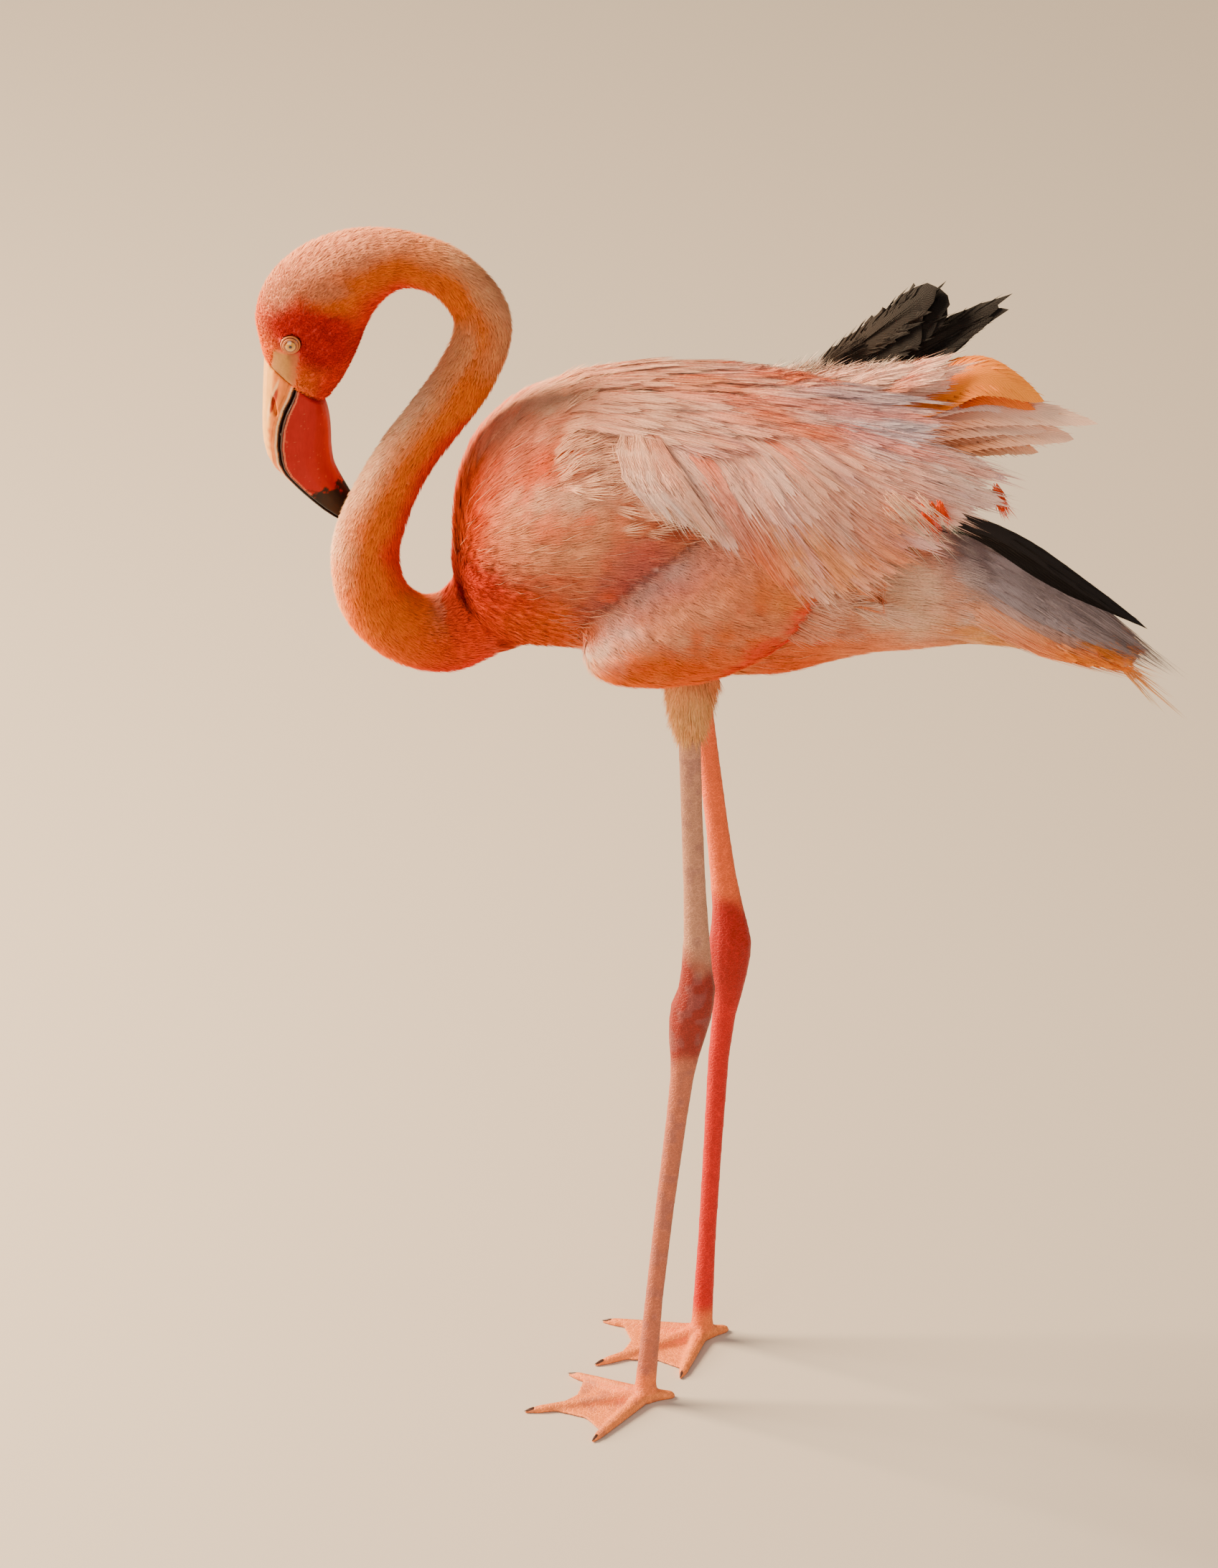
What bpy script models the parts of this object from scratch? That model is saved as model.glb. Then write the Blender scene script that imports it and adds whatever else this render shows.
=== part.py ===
# A life-size American flamingo that stands on both legs with its neck folded down and the tip
# of its bill beside the neck. Metres; the bird faces -X, +Z is up and its left side is -Y.
import math

import bmesh
import bpy
import numpy as np
from mathutils import Matrix, Vector

# Driving sizes of the whole bird
GAP = 0.0003  # between two pieces that touch
LEG_SPREAD = 0.045  # from the middle plane to each leg
FOOT_TOP = 0.014  # where the foot meets the shank
ANKLE_HEIGHT = 0.3095
SHIN_TOP = 0.5164  # where the bare shin goes into the feathered thigh
BODY_SIDES = 24
TRUNK_RINGS = 16
HEAD_SIDES = 20
WING_SIDES = 16
NECK_SIDES = 14
LEG_SIDES = 12

# The trunk and the fleshy part of the tail: x, z of the middle, half height, half width
BODY_ROWS = (
    (-0.1842, 0.653, 0.004, 0.004),
    (-0.1818, 0.653, 0.030, 0.026),
    (-0.1755, 0.654, 0.054, 0.045),
    (-0.1627, 0.656, 0.075, 0.060),
    (-0.1390, 0.661, 0.091, 0.074),
    (-0.1100, 0.666, 0.098, 0.081),
    (-0.0700, 0.666, 0.101, 0.085),
    (-0.0200, 0.658, 0.103, 0.085),
    (0.0250, 0.650, 0.107, 0.083),
    (0.0650, 0.650, 0.097, 0.077),
    (0.1030, 0.644, 0.081, 0.068),
    (0.1300, 0.633, 0.070, 0.060),
    (0.1720, 0.6124, 0.043, 0.050),
    (0.2150, 0.5960, 0.029, 0.040),
    (0.2500, 0.5800, 0.018, 0.030),
    (0.2720, 0.5660, 0.008, 0.016),
)
TRUNK_END = 0.138  # x where the tail's flesh begins

# The outer surface of the back feathers, which lie over the trunk and the folded wings
MANTLE_ROWS = (
    (-0.125, 0.6720, 0.077, 0.070),
    (-0.100, 0.6735, 0.092, 0.082),
    (-0.050, 0.6765, 0.090, 0.097),
    (0.000, 0.6790, 0.082, 0.105),
    (0.050, 0.6755, 0.077, 0.107),
    (0.100, 0.6730, 0.069, 0.100),
    (0.150, 0.6800, 0.055, 0.085),
    (0.200, 0.6800, 0.038, 0.068),
    (0.250, 0.6780, 0.025, 0.050),
)

# The neck's line from its root in the breast up and over to the head: x, y, z, half thickness
NECK_ROWS = (
    (-0.1284, 0.000, 0.6030, 0.0360),
    (-0.1603, 0.000, 0.5890, 0.0330),
    (-0.1892, 0.000, 0.5718, 0.0285),
    (-0.2176, -0.004, 0.5812, 0.0260),
    (-0.2365, -0.007, 0.6050, 0.0250),
    (-0.2414, -0.010, 0.6382, 0.0242),
    (-0.2368, -0.012, 0.6615, 0.0236),
    (-0.2264, -0.012, 0.6893, 0.0218),
    (-0.2106, -0.009, 0.7176, 0.0208),
    (-0.1912, -0.006, 0.7438, 0.0208),
    (-0.1732, -0.002, 0.7693, 0.0212),
    (-0.1608, 0.003, 0.7990, 0.0208),
    (-0.1640, 0.006, 0.8208, 0.0198),
    (-0.1840, 0.010, 0.8430, 0.0188),
    (-0.2030, 0.012, 0.8502, 0.0196),
    (-0.2222, 0.012, 0.8526, 0.0222),
    (-0.2390, 0.012, 0.8470, 0.0290),
)
NECK_NODES = ("neck_base", "neck_lower", "neck_middle", "neck_upper")
NECK_CUTS = (0.0, 3.6, 7.6, 11.4, 15.0)  # along the rows; the last row only leads into the head
NECK_FLATNESS = 0.92  # its width over its depth

# The head on from the neck: x, z, tilt of its depth in degrees, half depth, half width
HEAD_ROWS = (
    (-0.2392, 0.8470, 106, 0.0290, 0.0240),
    (-0.2526, 0.8392, 118, 0.0338, 0.0266),
    (-0.2655, 0.8280, 131, 0.0386, 0.0284),
    (-0.2757, 0.8138, 143, 0.0407, 0.0291),
    (-0.2820, 0.7973, 150, 0.0396, 0.0285),
    (-0.2851, 0.7815, 150, 0.0351, 0.0262),
    (-0.2872, 0.7694, 146, 0.0298, 0.0215),
    (-0.2889, 0.7608, 141, 0.0271, 0.0176),
)
EYE_AT = (-0.2913, 0.8002)
EYE_RADIUS = 0.0075
EYE_DEPTH = 0.0215  # of the eyeball's centre from the head's middle plane
LID_RADIUS = 0.0060
LID_THICKNESS = 0.0014

# The bill from its base to its tip: the ridge, the mouth line and the keel as x and z, then
# the half width of the upper and of the lower half
BILL_ROWS = (
    (-0.3097, 0.7777, -0.2876, 0.7598, -0.2681, 0.7439, 0.0150, 0.0168),
    (-0.3104, 0.7600, -0.2898, 0.7512, -0.2662, 0.7382, 0.0140, 0.0166),
    (-0.3108, 0.7420, -0.2943, 0.7404, -0.2648, 0.7303, 0.0129, 0.0162),
    (-0.3110, 0.7270, -0.2976, 0.7280, -0.2640, 0.7210, 0.0121, 0.0158),
    (-0.3103, 0.7125, -0.2988, 0.7130, -0.2638, 0.7094, 0.0116, 0.0152),
    (-0.3060, 0.6966, -0.2970, 0.6980, -0.2628, 0.6990, 0.0112, 0.0146),
    (-0.2970, 0.6860, -0.2931, 0.6894, -0.2612, 0.6920, 0.0108, 0.0136),
    (-0.2874, 0.6755, -0.2844, 0.6784, -0.2576, 0.6838, 0.0100, 0.0120),
    (-0.2770, 0.6650, -0.2747, 0.6676, -0.2532, 0.6750, 0.0088, 0.0100),
    (-0.2670, 0.6557, -0.2652, 0.6580, -0.2492, 0.6664, 0.0072, 0.0076),
    (-0.2572, 0.6487, -0.2560, 0.6502, -0.2480, 0.6560, 0.0045, 0.0045),
)
LIP_GROOVE = 0.0011  # depth and half width of the groove along the mouth
NOSTRIL_AT = (-0.3026, 0.7440)
NOSTRIL_SIZE = (0.0014, 0.0040, 0.0095)

# The folded left wing's lobe: x, y, z, tilt, half height, half thickness
WING_ROWS = (
    (-0.0940, -0.0730, 0.5860, 112, 0.0080, 0.0070),
    (-0.0880, -0.0735, 0.5880, 112, 0.0180, 0.0130),
    (-0.0700, -0.0745, 0.5960, 110, 0.0300, 0.0180),
    (-0.0400, -0.0765, 0.6100, 109, 0.0430, 0.0205),
    (0.0000, -0.0780, 0.6320, 108, 0.0540, 0.0205),
    (0.0400, -0.0780, 0.6540, 106, 0.0450, 0.0190),
    (0.0800, -0.0770, 0.6720, 105, 0.0300, 0.0150),
    (0.1000, -0.0760, 0.6800, 105, 0.0170, 0.0090),
)
WING_ROOM = 0.0058  # what the black feathers leave free round the lobe, for its coverts

# How each leg runs, as height and x from its heel up, and how far its toes turn
LEGS = {
    "left": (((0.014, -0.0500), (0.109, -0.0418), (0.253, -0.0252), (0.283, -0.0219), (0.3095, -0.0181),
              (0.322, -0.0152), (0.372, -0.0156), (0.425, -0.0180), (0.5164, -0.0204)), 13.0),
    "right": (((0.014, -0.0110), (0.061, -0.0087), (0.205, -0.0010), (0.235, 0.0011), (0.270, 0.0062),
               (0.315, 0.0080), (0.333, 0.0066), (0.359, 0.0032), (0.430, -0.0046), (0.5164, -0.0150)), 30.0),
}
# Height along the leg and its thickness from front to back
LEG_ROWS = (
    (0.014, 0.0150),
    (0.035, 0.0140),
    (0.080, 0.0126),
    (0.150, 0.0132),
    (0.220, 0.0148),
    (0.252, 0.0166),
    (0.268, 0.0200),
    (0.284, 0.0256),
    (0.298, 0.0292),
    (0.3095, 0.0298),
    (0.322, 0.0258),
    (0.336, 0.0218),
    (0.362, 0.0182),
    (0.400, 0.0158),
    (0.460, 0.0152),
    (0.5164, 0.0158),
)
LEG_FLATNESS = 0.82
THIGH_ROWS = ((0.5168, 0.0118), (0.5280, 0.0165), (0.5480, 0.0205), (0.5700, 0.0190), (0.6000, 0.0110))
TOE_LENGTHS = {"inner": 0.064, "middle": 0.086, "outer": 0.072}
TOE_SPLAY = 46.0
TOE_RADIUS = 0.0052
HIND_TOE_LENGTH = 0.018
WEB_THICKNESS = 0.0014
WEB_REACH = 0.80  # share of each toe that the web follows

# The outline of a feather, as shares of its length and its width
COVERT = ((0.0, 0.5), (0.50, 1.0), (0.87, 0.76), (1.0, 0.22))
FLIGHT = ((0.0, 0.5), (0.35, 0.95), (0.70, 1.0), (0.92, 0.84), (1.0, 0.3))
WISP_ROOT = Vector((0.2660, 0.0, 0.5540))
STRAND = ((0.0, 1.0), (0.4, 0.9), (0.75, 0.65), (1.0, 0.35))
VANE_THICKNESS = 0.0006

COLOURS = {
    "plumage": ((0.93, 0.50, 0.36), 0.85),
    "back_plumage": ((0.93, 0.72, 0.68), 0.85),
    "flight_black": ((0.03, 0.028, 0.026), 0.60),
    "leg_skin": ((0.78, 0.30, 0.26), 0.55),
    "bill_pale": ((0.93, 0.80, 0.72), 0.35),
    "bill_red": ((0.85, 0.16, 0.08), 0.40),
    "eye_yellow": ((0.90, 0.74, 0.45), 0.10),
}


def clear_scene():
    for obj in list(bpy.data.objects):
        bpy.data.objects.remove(obj)


def collection_named(name):
    made = bpy.data.collections.new(name)
    bpy.context.scene.collection.children.link(made)
    return made


def material_named(name):
    found = bpy.data.materials.get(name)
    if found:
        return found
    colour, roughness = COLOURS[name]
    made = bpy.data.materials.new(name)
    made.use_nodes = True
    shader = made.node_tree.nodes["Principled BSDF"]
    shader.inputs["Base Color"].default_value = (*colour, 1.0)
    shader.inputs["Roughness"].default_value = roughness
    shader.inputs["Metallic"].default_value = 0.0
    return made


def spline(rows, u):
    """Smooth values between rows, where u counts rows from the first."""
    table = np.asarray(rows, float)
    last = len(table) - 1
    u = min(max(float(u), 0.0), float(last))
    i = min(int(u), last - 1)
    t = u - i
    before = table[i - 1] if i else 2 * table[0] - table[1]
    after = table[i + 2] if i + 2 <= last else 2 * table[last] - table[last - 1]
    here, there = table[i], table[i + 1]
    return 0.5 * (
        2 * here
        + (there - before) * t
        + (2 * before - 5 * here + 4 * there - after) * t**2
        + (3 * here - before - 3 * there + after) * t**3
    )


class Form:
    """A tapering body of elliptic sections: x, y, z, tilt of its height, half height, half width."""

    def __init__(self, rows, side=-1.0):
        self.rows = np.asarray(rows, float)
        self.side = side

    @property
    def last(self):
        return len(self.rows) - 1

    def row_at(self, x):
        """Where along the rows this x lies, for a form that runs along X."""
        return float(np.interp(x, self.rows[:, 0], range(len(self.rows))))

    def frame(self, u):
        x, y, z, tilt, high, wide = spline(self.rows, u)
        up = Vector((math.cos(math.radians(tilt)), 0.0, math.sin(math.radians(tilt))))
        return Vector((x, y, z)), up, Vector((0.0, self.side, 0.0)), high, wide

    def point(self, u, turn, lift=0.0):
        """A point at this turn round the section, in degrees from its top, and lift off it."""
        centre, up, side, high, wide = self.frame(u)
        a = math.radians(turn)
        out = up * (wide * math.cos(a)) + side * (high * math.sin(a))
        surface = centre + up * (high * math.cos(a)) + side * (wide * math.sin(a))
        return surface + out.normalized() * lift

    def facing(self, u, turn):
        return (self.point(u, turn, 0.01) - self.point(u, turn)).normalized()

    def ring(self, u, sides, grow=0.0):
        return [self.point(u, 360.0 * k / sides, grow) for k in range(sides)]


def level_form(rows):
    """A form along X whose sections stand upright in the middle plane."""
    return Form([(x, 0.0, z, 90.0, high, wide) for x, z, high, wide in rows])


def mesh_object(name, verts, faces, where):
    mesh = bpy.data.meshes.new(name)
    mesh.from_pydata([tuple(v) for v in verts], [], faces)
    shape = bmesh.new()
    shape.from_mesh(mesh)
    bmesh.ops.recalc_face_normals(shape, faces=shape.faces)
    shape.to_mesh(mesh)
    shape.free()
    obj = bpy.data.objects.new(name, mesh)
    where.objects.link(obj)
    return obj


def loft(name, rings, where):
    """A closed solid through rings of equally many points, with flat ends."""
    count = len(rings[0])
    verts = [p for ring in rings for p in ring]
    faces = [tuple(range(count)), tuple(range(len(verts) - count, len(verts)))]
    for i in range(len(rings) - 1):
        a, b = i * count, (i + 1) * count
        for k in range(count):
            m = (k + 1) % count
            faces += [(a + k, a + m, b + m), (a + k, b + m, b + k)]
    return mesh_object(name, verts, faces, where)


def spaced(start, end, count):
    return [start + (end - start) * k / (count - 1) for k in range(count)]


def vane(path, facing, width, where, outline=COVERT, roll=0.0, thickness=VANE_THICKNESS):
    """One feather as a closed tapered plate: path(s) runs from root to tip, and roll lifts one edge."""
    verts, faces = [], []
    last = len(outline) - 1
    for s, broad in outline:
        here = path(s)
        ahead = (path(min(s + 0.02, 1.0)) - path(max(s - 0.02, 0.0))).normalized()
        out = facing(s)
        out = (out - ahead * out.dot(ahead)).normalized()
        across = ahead.cross(out)
        half = 0.5 * width * broad
        tilt = out * (roll * broad / 2)
        for edge, level in ((-1, 0.5), (1, 0.5), (1, -0.5), (-1, -0.5)):
            verts.append(here + across * half * edge + tilt * edge + out * level * thickness)
    for i in range(last):
        a, b = 4 * i, 4 * i + 4
        faces += [(a, a + 1, b + 1), (a, b + 1, b), (a + 3, b + 2, a + 2), (a + 3, b + 3, b + 2)]
        faces += [(a + 1, a + 2, b + 2), (a + 1, b + 2, b + 1), (a, b, b + 3), (a, b + 3, a + 3)]
    end = 4 * last
    faces += [(0, 2, 1), (0, 3, 2), (end, end + 1, end + 2), (end, end + 2, end + 3)]
    return mesh_object("vane", verts, faces, where)


def vane_through(points, facing, width, where, **more):
    """A vane along a smooth line through a few points, facing one way."""
    line = [Vector(p) for p in points]
    out = Vector(facing).normalized()
    span = len(line) - 1
    return vane(lambda s: Vector(spline(line, s * span)), lambda s: out, width, where, **more)


def vane_on(form, root, tip, lifts, width, where, **more):
    """A vane that lies on a form from its root to its tip, each a row and a turn."""

    def at(s):
        return [a + (b - a) * s for a, b in zip(root, tip)]

    def path(s):
        return form.point(*at(s), lifts[0] + (lifts[1] - lifts[0]) * s)

    return vane(path, lambda s: form.facing(*at(s)), width, where, **more)


def apply_boolean(obj, operation, **operand):
    modifier = obj.modifiers.new(operation.lower(), "BOOLEAN")
    modifier.operation = operation
    modifier.solver = "EXACT"
    for key, value in operand.items():
        setattr(modifier, key, value)
    bpy.context.view_layer.objects.active = obj
    bpy.ops.object.modifier_apply(modifier=modifier.name)


def keep_largest(obj):
    """Keeps the largest closed surface of a mesh and drops every loose scrap."""
    shape = bmesh.new()
    shape.from_mesh(obj.data)
    bmesh.ops.remove_doubles(shape, verts=shape.verts, dist=1e-7)
    left, groups = set(shape.verts), []
    while left:
        group, front = set(), [left.pop()]
        while front:
            vert = front.pop()
            group.add(vert)
            near = {edge.other_vert(vert) for edge in vert.link_edges} & left
            left -= near
            front += near
        groups.append(group)
    if len(groups) > 1:
        largest = max(groups, key=len)
        loose = [v for group in groups if group is not largest for v in group]
        bmesh.ops.delete(shape, geom=loose, context="VERTS")
    shape.to_mesh(obj.data)
    shape.free()


def fused(name, core, pieces, cutters=()):
    """One closed node from a core and a collection of pieces, less its cutters."""
    core.name = core.data.name = name
    if pieces.objects:
        apply_boolean(core, "UNION", operand_type="COLLECTION", collection=pieces)
    for cutter in cutters:
        apply_boolean(core, "DIFFERENCE", object=cutter)
    for piece in list(pieces.objects):
        bpy.data.objects.remove(piece)
    bpy.data.collections.remove(pieces)
    keep_largest(core)
    return core


def finished(obj, material, smooth_angle=40.0):
    """Gives a node its one material and smooths its round faces."""
    obj.data.materials.clear()
    obj.data.materials.append(material_named(material))
    obj.data.shade_smooth()
    obj.data.set_sharp_from_angle(angle=math.radians(smooth_angle))
    return obj


def mirrored(obj, name, where):
    """A copy on the bird's other side."""
    copy = bpy.data.objects.new(name, obj.data.copy())
    copy.data.transform(Matrix.Scale(-1.0, 4, (0.0, 1.0, 0.0)))
    copy.data.flip_normals()
    where.objects.link(copy)
    return copy


def moved_to(obj, where):
    """Puts an object in one collection and no other."""
    for other in list(obj.users_collection):
        other.objects.unlink(obj)
    where.objects.link(obj)
    return obj


def cutter_from(obj, where):
    moved_to(obj, where)
    obj.hide_render = True
    obj.display_type = "WIRE"
    return obj


def body_rings(form, start, end, count, grow=0.0):
    """Rings of the trunk, closer together at the round breast."""
    shares = [(k / (count - 1)) ** 1.25 for k in range(count)]
    first, last = form.row_at(start), form.row_at(end)
    return [form.ring(first + (last - first) * s, BODY_SIDES, grow) for s in shares]


def make_torso(bird, body, cutters):
    start = body.rows[0][0]
    torso = loft("torso", body_rings(body, start, TRUNK_END, TRUNK_RINGS), bird)
    rings = body_rings(body, start, TRUNK_END, TRUNK_RINGS, GAP)
    rings[0] = [p + Vector((-GAP, 0.0, 0.0)) for p in rings[0]]
    rings.append([p + Vector((GAP, 0.0, 0.0)) for p in rings[-1]])
    clearance = cutter_from(loft("torso_clearance", rings, cutters), cutters)
    return finished(torso, "plumage"), clearance


def neck_form():
    rows = []
    for i, (x, y, z, half) in enumerate(NECK_ROWS):
        before, after = NECK_ROWS[max(i - 1, 0)], NECK_ROWS[min(i + 1, len(NECK_ROWS) - 1)]
        heading = math.degrees(math.atan2(after[2] - before[2], after[0] - before[0]))
        rows.append((x, y, z, (heading % 360.0) - 90.0, half, half * NECK_FLATNESS))
    return Form(rows)


def make_neck(bird, torso_clearance):
    form = neck_form()
    for name, start, end in zip(NECK_NODES, NECK_CUTS, NECK_CUTS[1:]):
        count = max(6, round((end - start) * 2.2) + 1)
        rings = [form.ring(u, NECK_SIDES) for u in spaced(start, end, count)]
        if start:
            step = (form.frame(start + 0.05)[0] - form.frame(start)[0]).normalized() * GAP
            rings[0] = [p + step for p in rings[0]]
        length = loft(name, rings, bird)
        if not start:
            apply_boolean(length, "DIFFERENCE", object=torso_clearance)
            keep_largest(length)
        finished(length, "plumage")


def head_side(z):
    """How far the head's middle plane stands to the right, more towards the bill's tip."""
    return 0.012 + 0.06 * max(0.0, 0.80 - z)


def ball(name, centre, size, where, segments=14, rings=8):
    mesh = bpy.data.meshes.new(name)
    shape = bmesh.new()
    bmesh.ops.create_uvsphere(shape, u_segments=segments, v_segments=rings, radius=1.0)
    bmesh.ops.transform(shape, matrix=Matrix.Diagonal((*size, 1.0)), verts=shape.verts)
    bmesh.ops.translate(shape, vec=centre, verts=shape.verts)
    shape.to_mesh(mesh)
    shape.free()
    obj = bpy.data.objects.new(name, mesh)
    where.objects.link(obj)
    return obj


def lid_ring(centre, where):
    bpy.ops.mesh.primitive_torus_add(
        location=centre,
        rotation=(math.pi / 2, 0.0, 0.0),
        major_segments=16,
        minor_segments=6,
        major_radius=LID_RADIUS,
        minor_radius=LID_THICKNESS,
    )
    ring = bpy.context.object
    ring.data.transform(ring.matrix_basis)
    ring.matrix_basis = Matrix.Identity(4)
    return moved_to(ring, where)


def make_head(bird, cutters):
    neck_end = tuple(neck_form().rows[round(NECK_CUTS[-1])])
    rows = [(x, head_side(z), z, tilt, high, wide) for x, z, tilt, high, wide in HEAD_ROWS]
    form = Form([neck_end, *rows])
    rings = [form.ring(u, HEAD_SIDES) for u in spaced(0.0, form.last, 13)]
    step = (form.frame(0.1)[0] - form.frame(0.0)[0]).normalized() * GAP
    rings[0] = [p + step for p in rings[0]]
    head = loft("head", rings, bird)
    lids = collection_named("lids")
    sockets = []
    middle = head_side(EYE_AT[1])
    for name, side in (("eye_left", -1.0), ("eye_right", 1.0)):
        centre = Vector((EYE_AT[0], middle + side * EYE_DEPTH, EYE_AT[1]))
        rim = centre + Vector((0.0, side * (EYE_RADIUS - 0.0024), 0.0))
        lid_ring(rim, lids)
        eye = ball(name, centre, (EYE_RADIUS,) * 3, bird)
        finished(eye, "eye_yellow")
        room = EYE_RADIUS + GAP
        sockets.append(cutter_from(ball(name + "_socket", centre, (room,) * 3, cutters), cutters))
    return finished(fused("head", head, lids, sockets), "plumage")


def bill_ring(edge, far, half, apex, sides):
    """A D-shaped section: flat and grooved along the mouth, round towards the ridge or keel."""
    side = head_side(edge.z)
    depth = far - edge
    down = depth.normalized()
    points = []
    for k in range(sides + 1):
        a = math.pi * k / sides
        reach = max(depth.length * math.sin(a) ** apex, LIP_GROOVE if k in (0, sides) else 0.0)
        points.append(edge + down * reach + Vector((0.0, side + half * math.cos(a), 0.0)))
    for across in (-1.0, 1.0):
        inner = half - LIP_GROOVE
        points.append(edge + down * (GAP / 2) + Vector((0.0, side + inner * across, 0.0)))
    return points


def make_bill(bird, cutters):
    upper_rings, lower_rings = [], []
    start = Vector((-0.15, 0.0, -1.0)).normalized() * GAP
    for u in spaced(0.0, len(BILL_ROWS) - 1.0, 16):
        rx, rz, mx, mz, kx, kz, upper_half, lower_half = spline(BILL_ROWS, u)
        ridge, mouth, keel = Vector((rx, 0, rz)), Vector((mx, 0, mz)), Vector((kx, 0, kz))
        moved = start if u == 0.0 else Vector()
        upper_rings.append([p + moved for p in bill_ring(mouth, ridge, upper_half, 0.9, 9)])
        lower_rings.append([p + moved for p in bill_ring(mouth, keel, lower_half, 0.62, 11)])
    upper = loft("bill_upper", upper_rings, bird)
    lower = loft("bill_lower", lower_rings, bird)
    ridge_tilt = Matrix.Rotation(math.radians(-9), 4, "Y")
    for side in (-1.0, 1.0):
        slit = ball("nostril_cutter", (0, 0, 0), NOSTRIL_SIZE, cutters, 12, 8)
        slit.data.transform(ridge_tilt)
        place = Vector((NOSTRIL_AT[0], head_side(NOSTRIL_AT[1]) + side * 0.0112, NOSTRIL_AT[1]))
        slit.data.transform(Matrix.Translation(place))
        apply_boolean(upper, "DIFFERENCE", object=cutter_from(slit, cutters))
    keep_largest(upper)
    finished(upper, "bill_pale")
    finished(lower, "bill_red")


def make_leg(bird, cutters, name, torso_clearance):
    bends, toe_turn = LEGS[name]
    heel_x, top_x = bends[0][1], bends[-1][1]
    y = -LEG_SPREAD if name == "left" else LEG_SPREAD

    def rows(low, high):
        heights = [low, *[h for h, _ in LEG_ROWS if low < h < high], high]
        made = []
        for h in heights:
            thick = float(np.interp(h, *zip(*LEG_ROWS)))
            x = float(np.interp(h, *zip(*bends)))
            made.append((x, y, h, 180.0, thick / 2, thick / 2 * LEG_FLATNESS))
        return made

    for node, low, high in (
        ("shank", FOOT_TOP + GAP / 2, ANKLE_HEIGHT - GAP / 2),
        ("shin", ANKLE_HEIGHT + GAP / 2, SHIN_TOP),
    ):
        form = Form(rows(low, high))
        rings = [form.ring(u, LEG_SIDES) for u in range(form.last + 1)]
        finished(loft(f"leg_{name}_{node}", rings, bird), "leg_skin")
    thigh_rows = [(top_x, y, h + GAP, 180.0, r, r * 0.95) for h, r in THIGH_ROWS]
    thigh_form = Form(thigh_rows)
    rings = [thigh_form.ring(u, 16) for u in spaced(0.0, thigh_form.last, 8)]
    thigh = loft(f"leg_{name}_thigh", rings, bird)
    apply_boolean(thigh, "DIFFERENCE", object=torso_clearance)
    keep_largest(thigh)
    finished(thigh, "plumage")
    make_foot(bird, cutters, name, Vector((heel_x, y, 0.0)), toe_turn)


def toe(length, turn, heel, where):
    """One toe with its claw, flat under the foot, pointing ahead and turned to the left."""
    rows = [
        (0.0, 0.0, 0.0046, 90.0, 0.0062, 0.0062),
        (-length * 0.20, 0.0, 0.0036, 90.0, 0.0050, TOE_RADIUS),
        (-length * 0.86, 0.0, 0.0022, 90.0, 0.0031, TOE_RADIUS * 0.66),
        (-length * 0.93, 0.0, 0.0018, 90.0, 0.0024, TOE_RADIUS * 0.40),
        (-length, 0.0, 0.0010, 90.0, 0.0009, TOE_RADIUS * 0.14),
    ]
    form = Form(rows)
    made = loft("toe", [form.ring(u, 8) for u in range(len(rows))], where)
    made.data.transform(Matrix.Translation(heel) @ Matrix.Rotation(math.radians(turn), 4, "Z"))
    return made


def toe_tip(length, turn):
    return Vector((-length * math.cos(math.radians(turn)), -length * math.sin(math.radians(turn)), 0))


def web(first, second, heel, where):
    """The thin skin between two toes, with a hollow front edge."""
    (length_a, turn_a), (length_b, turn_b) = first, second
    corner_a, corner_b = toe_tip(length_a * WEB_REACH, turn_a), toe_tip(length_b * WEB_REACH, turn_b)
    hollow = (corner_a + corner_b) * 0.5 * 0.86
    outline = [Vector((0.002, 0.0, 0.0)), corner_a, hollow, corner_b]
    low, high = 0.0006, 0.0006 + WEB_THICKNESS
    verts = [heel + p + Vector((0, 0, z)) for z in (low, high) for p in outline]
    faces = [(0, 1, 2), (0, 2, 3), (4, 6, 5), (4, 7, 6)]
    for k in range(4):
        m = (k + 1) % 4
        faces += [(k, m, m + 4), (k, m + 4, k + 4)]
    return mesh_object("web", verts, faces, where)


def make_foot(bird, cutters, name, heel, toe_turn):
    pieces = collection_named(f"foot_{name}_pieces")
    inward = -1.0 if name == "left" else 1.0
    turns = {"inner": toe_turn + inward * TOE_SPLAY, "middle": toe_turn, "outer": toe_turn - inward * TOE_SPLAY}
    for which, turn in turns.items():
        toe(TOE_LENGTHS[which], turn, heel, pieces)
    hind = toe(HIND_TOE_LENGTH, toe_turn + 180.0, heel, pieces)
    hind.data.transform(Matrix.Translation((0.003, 0.0, 0.0)))
    for which in ("inner", "outer"):
        web((TOE_LENGTHS[which], turns[which]), (TOE_LENGTHS["middle"], turns["middle"]), heel, pieces)
    half = LEG_ROWS[0][1] / 2
    instep_rows = [
        (heel.x, heel.y, -0.0020, 180.0, half * 1.05, half * 0.95),
        (heel.x, heel.y, 0.0075, 180.0, half * 1.10, half * 0.98),
        (heel.x, heel.y, FOOT_TOP - GAP / 2, 180.0, half, half * LEG_FLATNESS),
    ]
    instep = Form(instep_rows)
    core = loft("instep", [instep.ring(u, LEG_SIDES) for u in spaced(0.0, 2.0, 4)], bird)
    foot = fused(f"leg_{name}_foot", core, pieces)
    flatten_sole(foot, cutters)
    finished(foot, "leg_skin")


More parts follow.
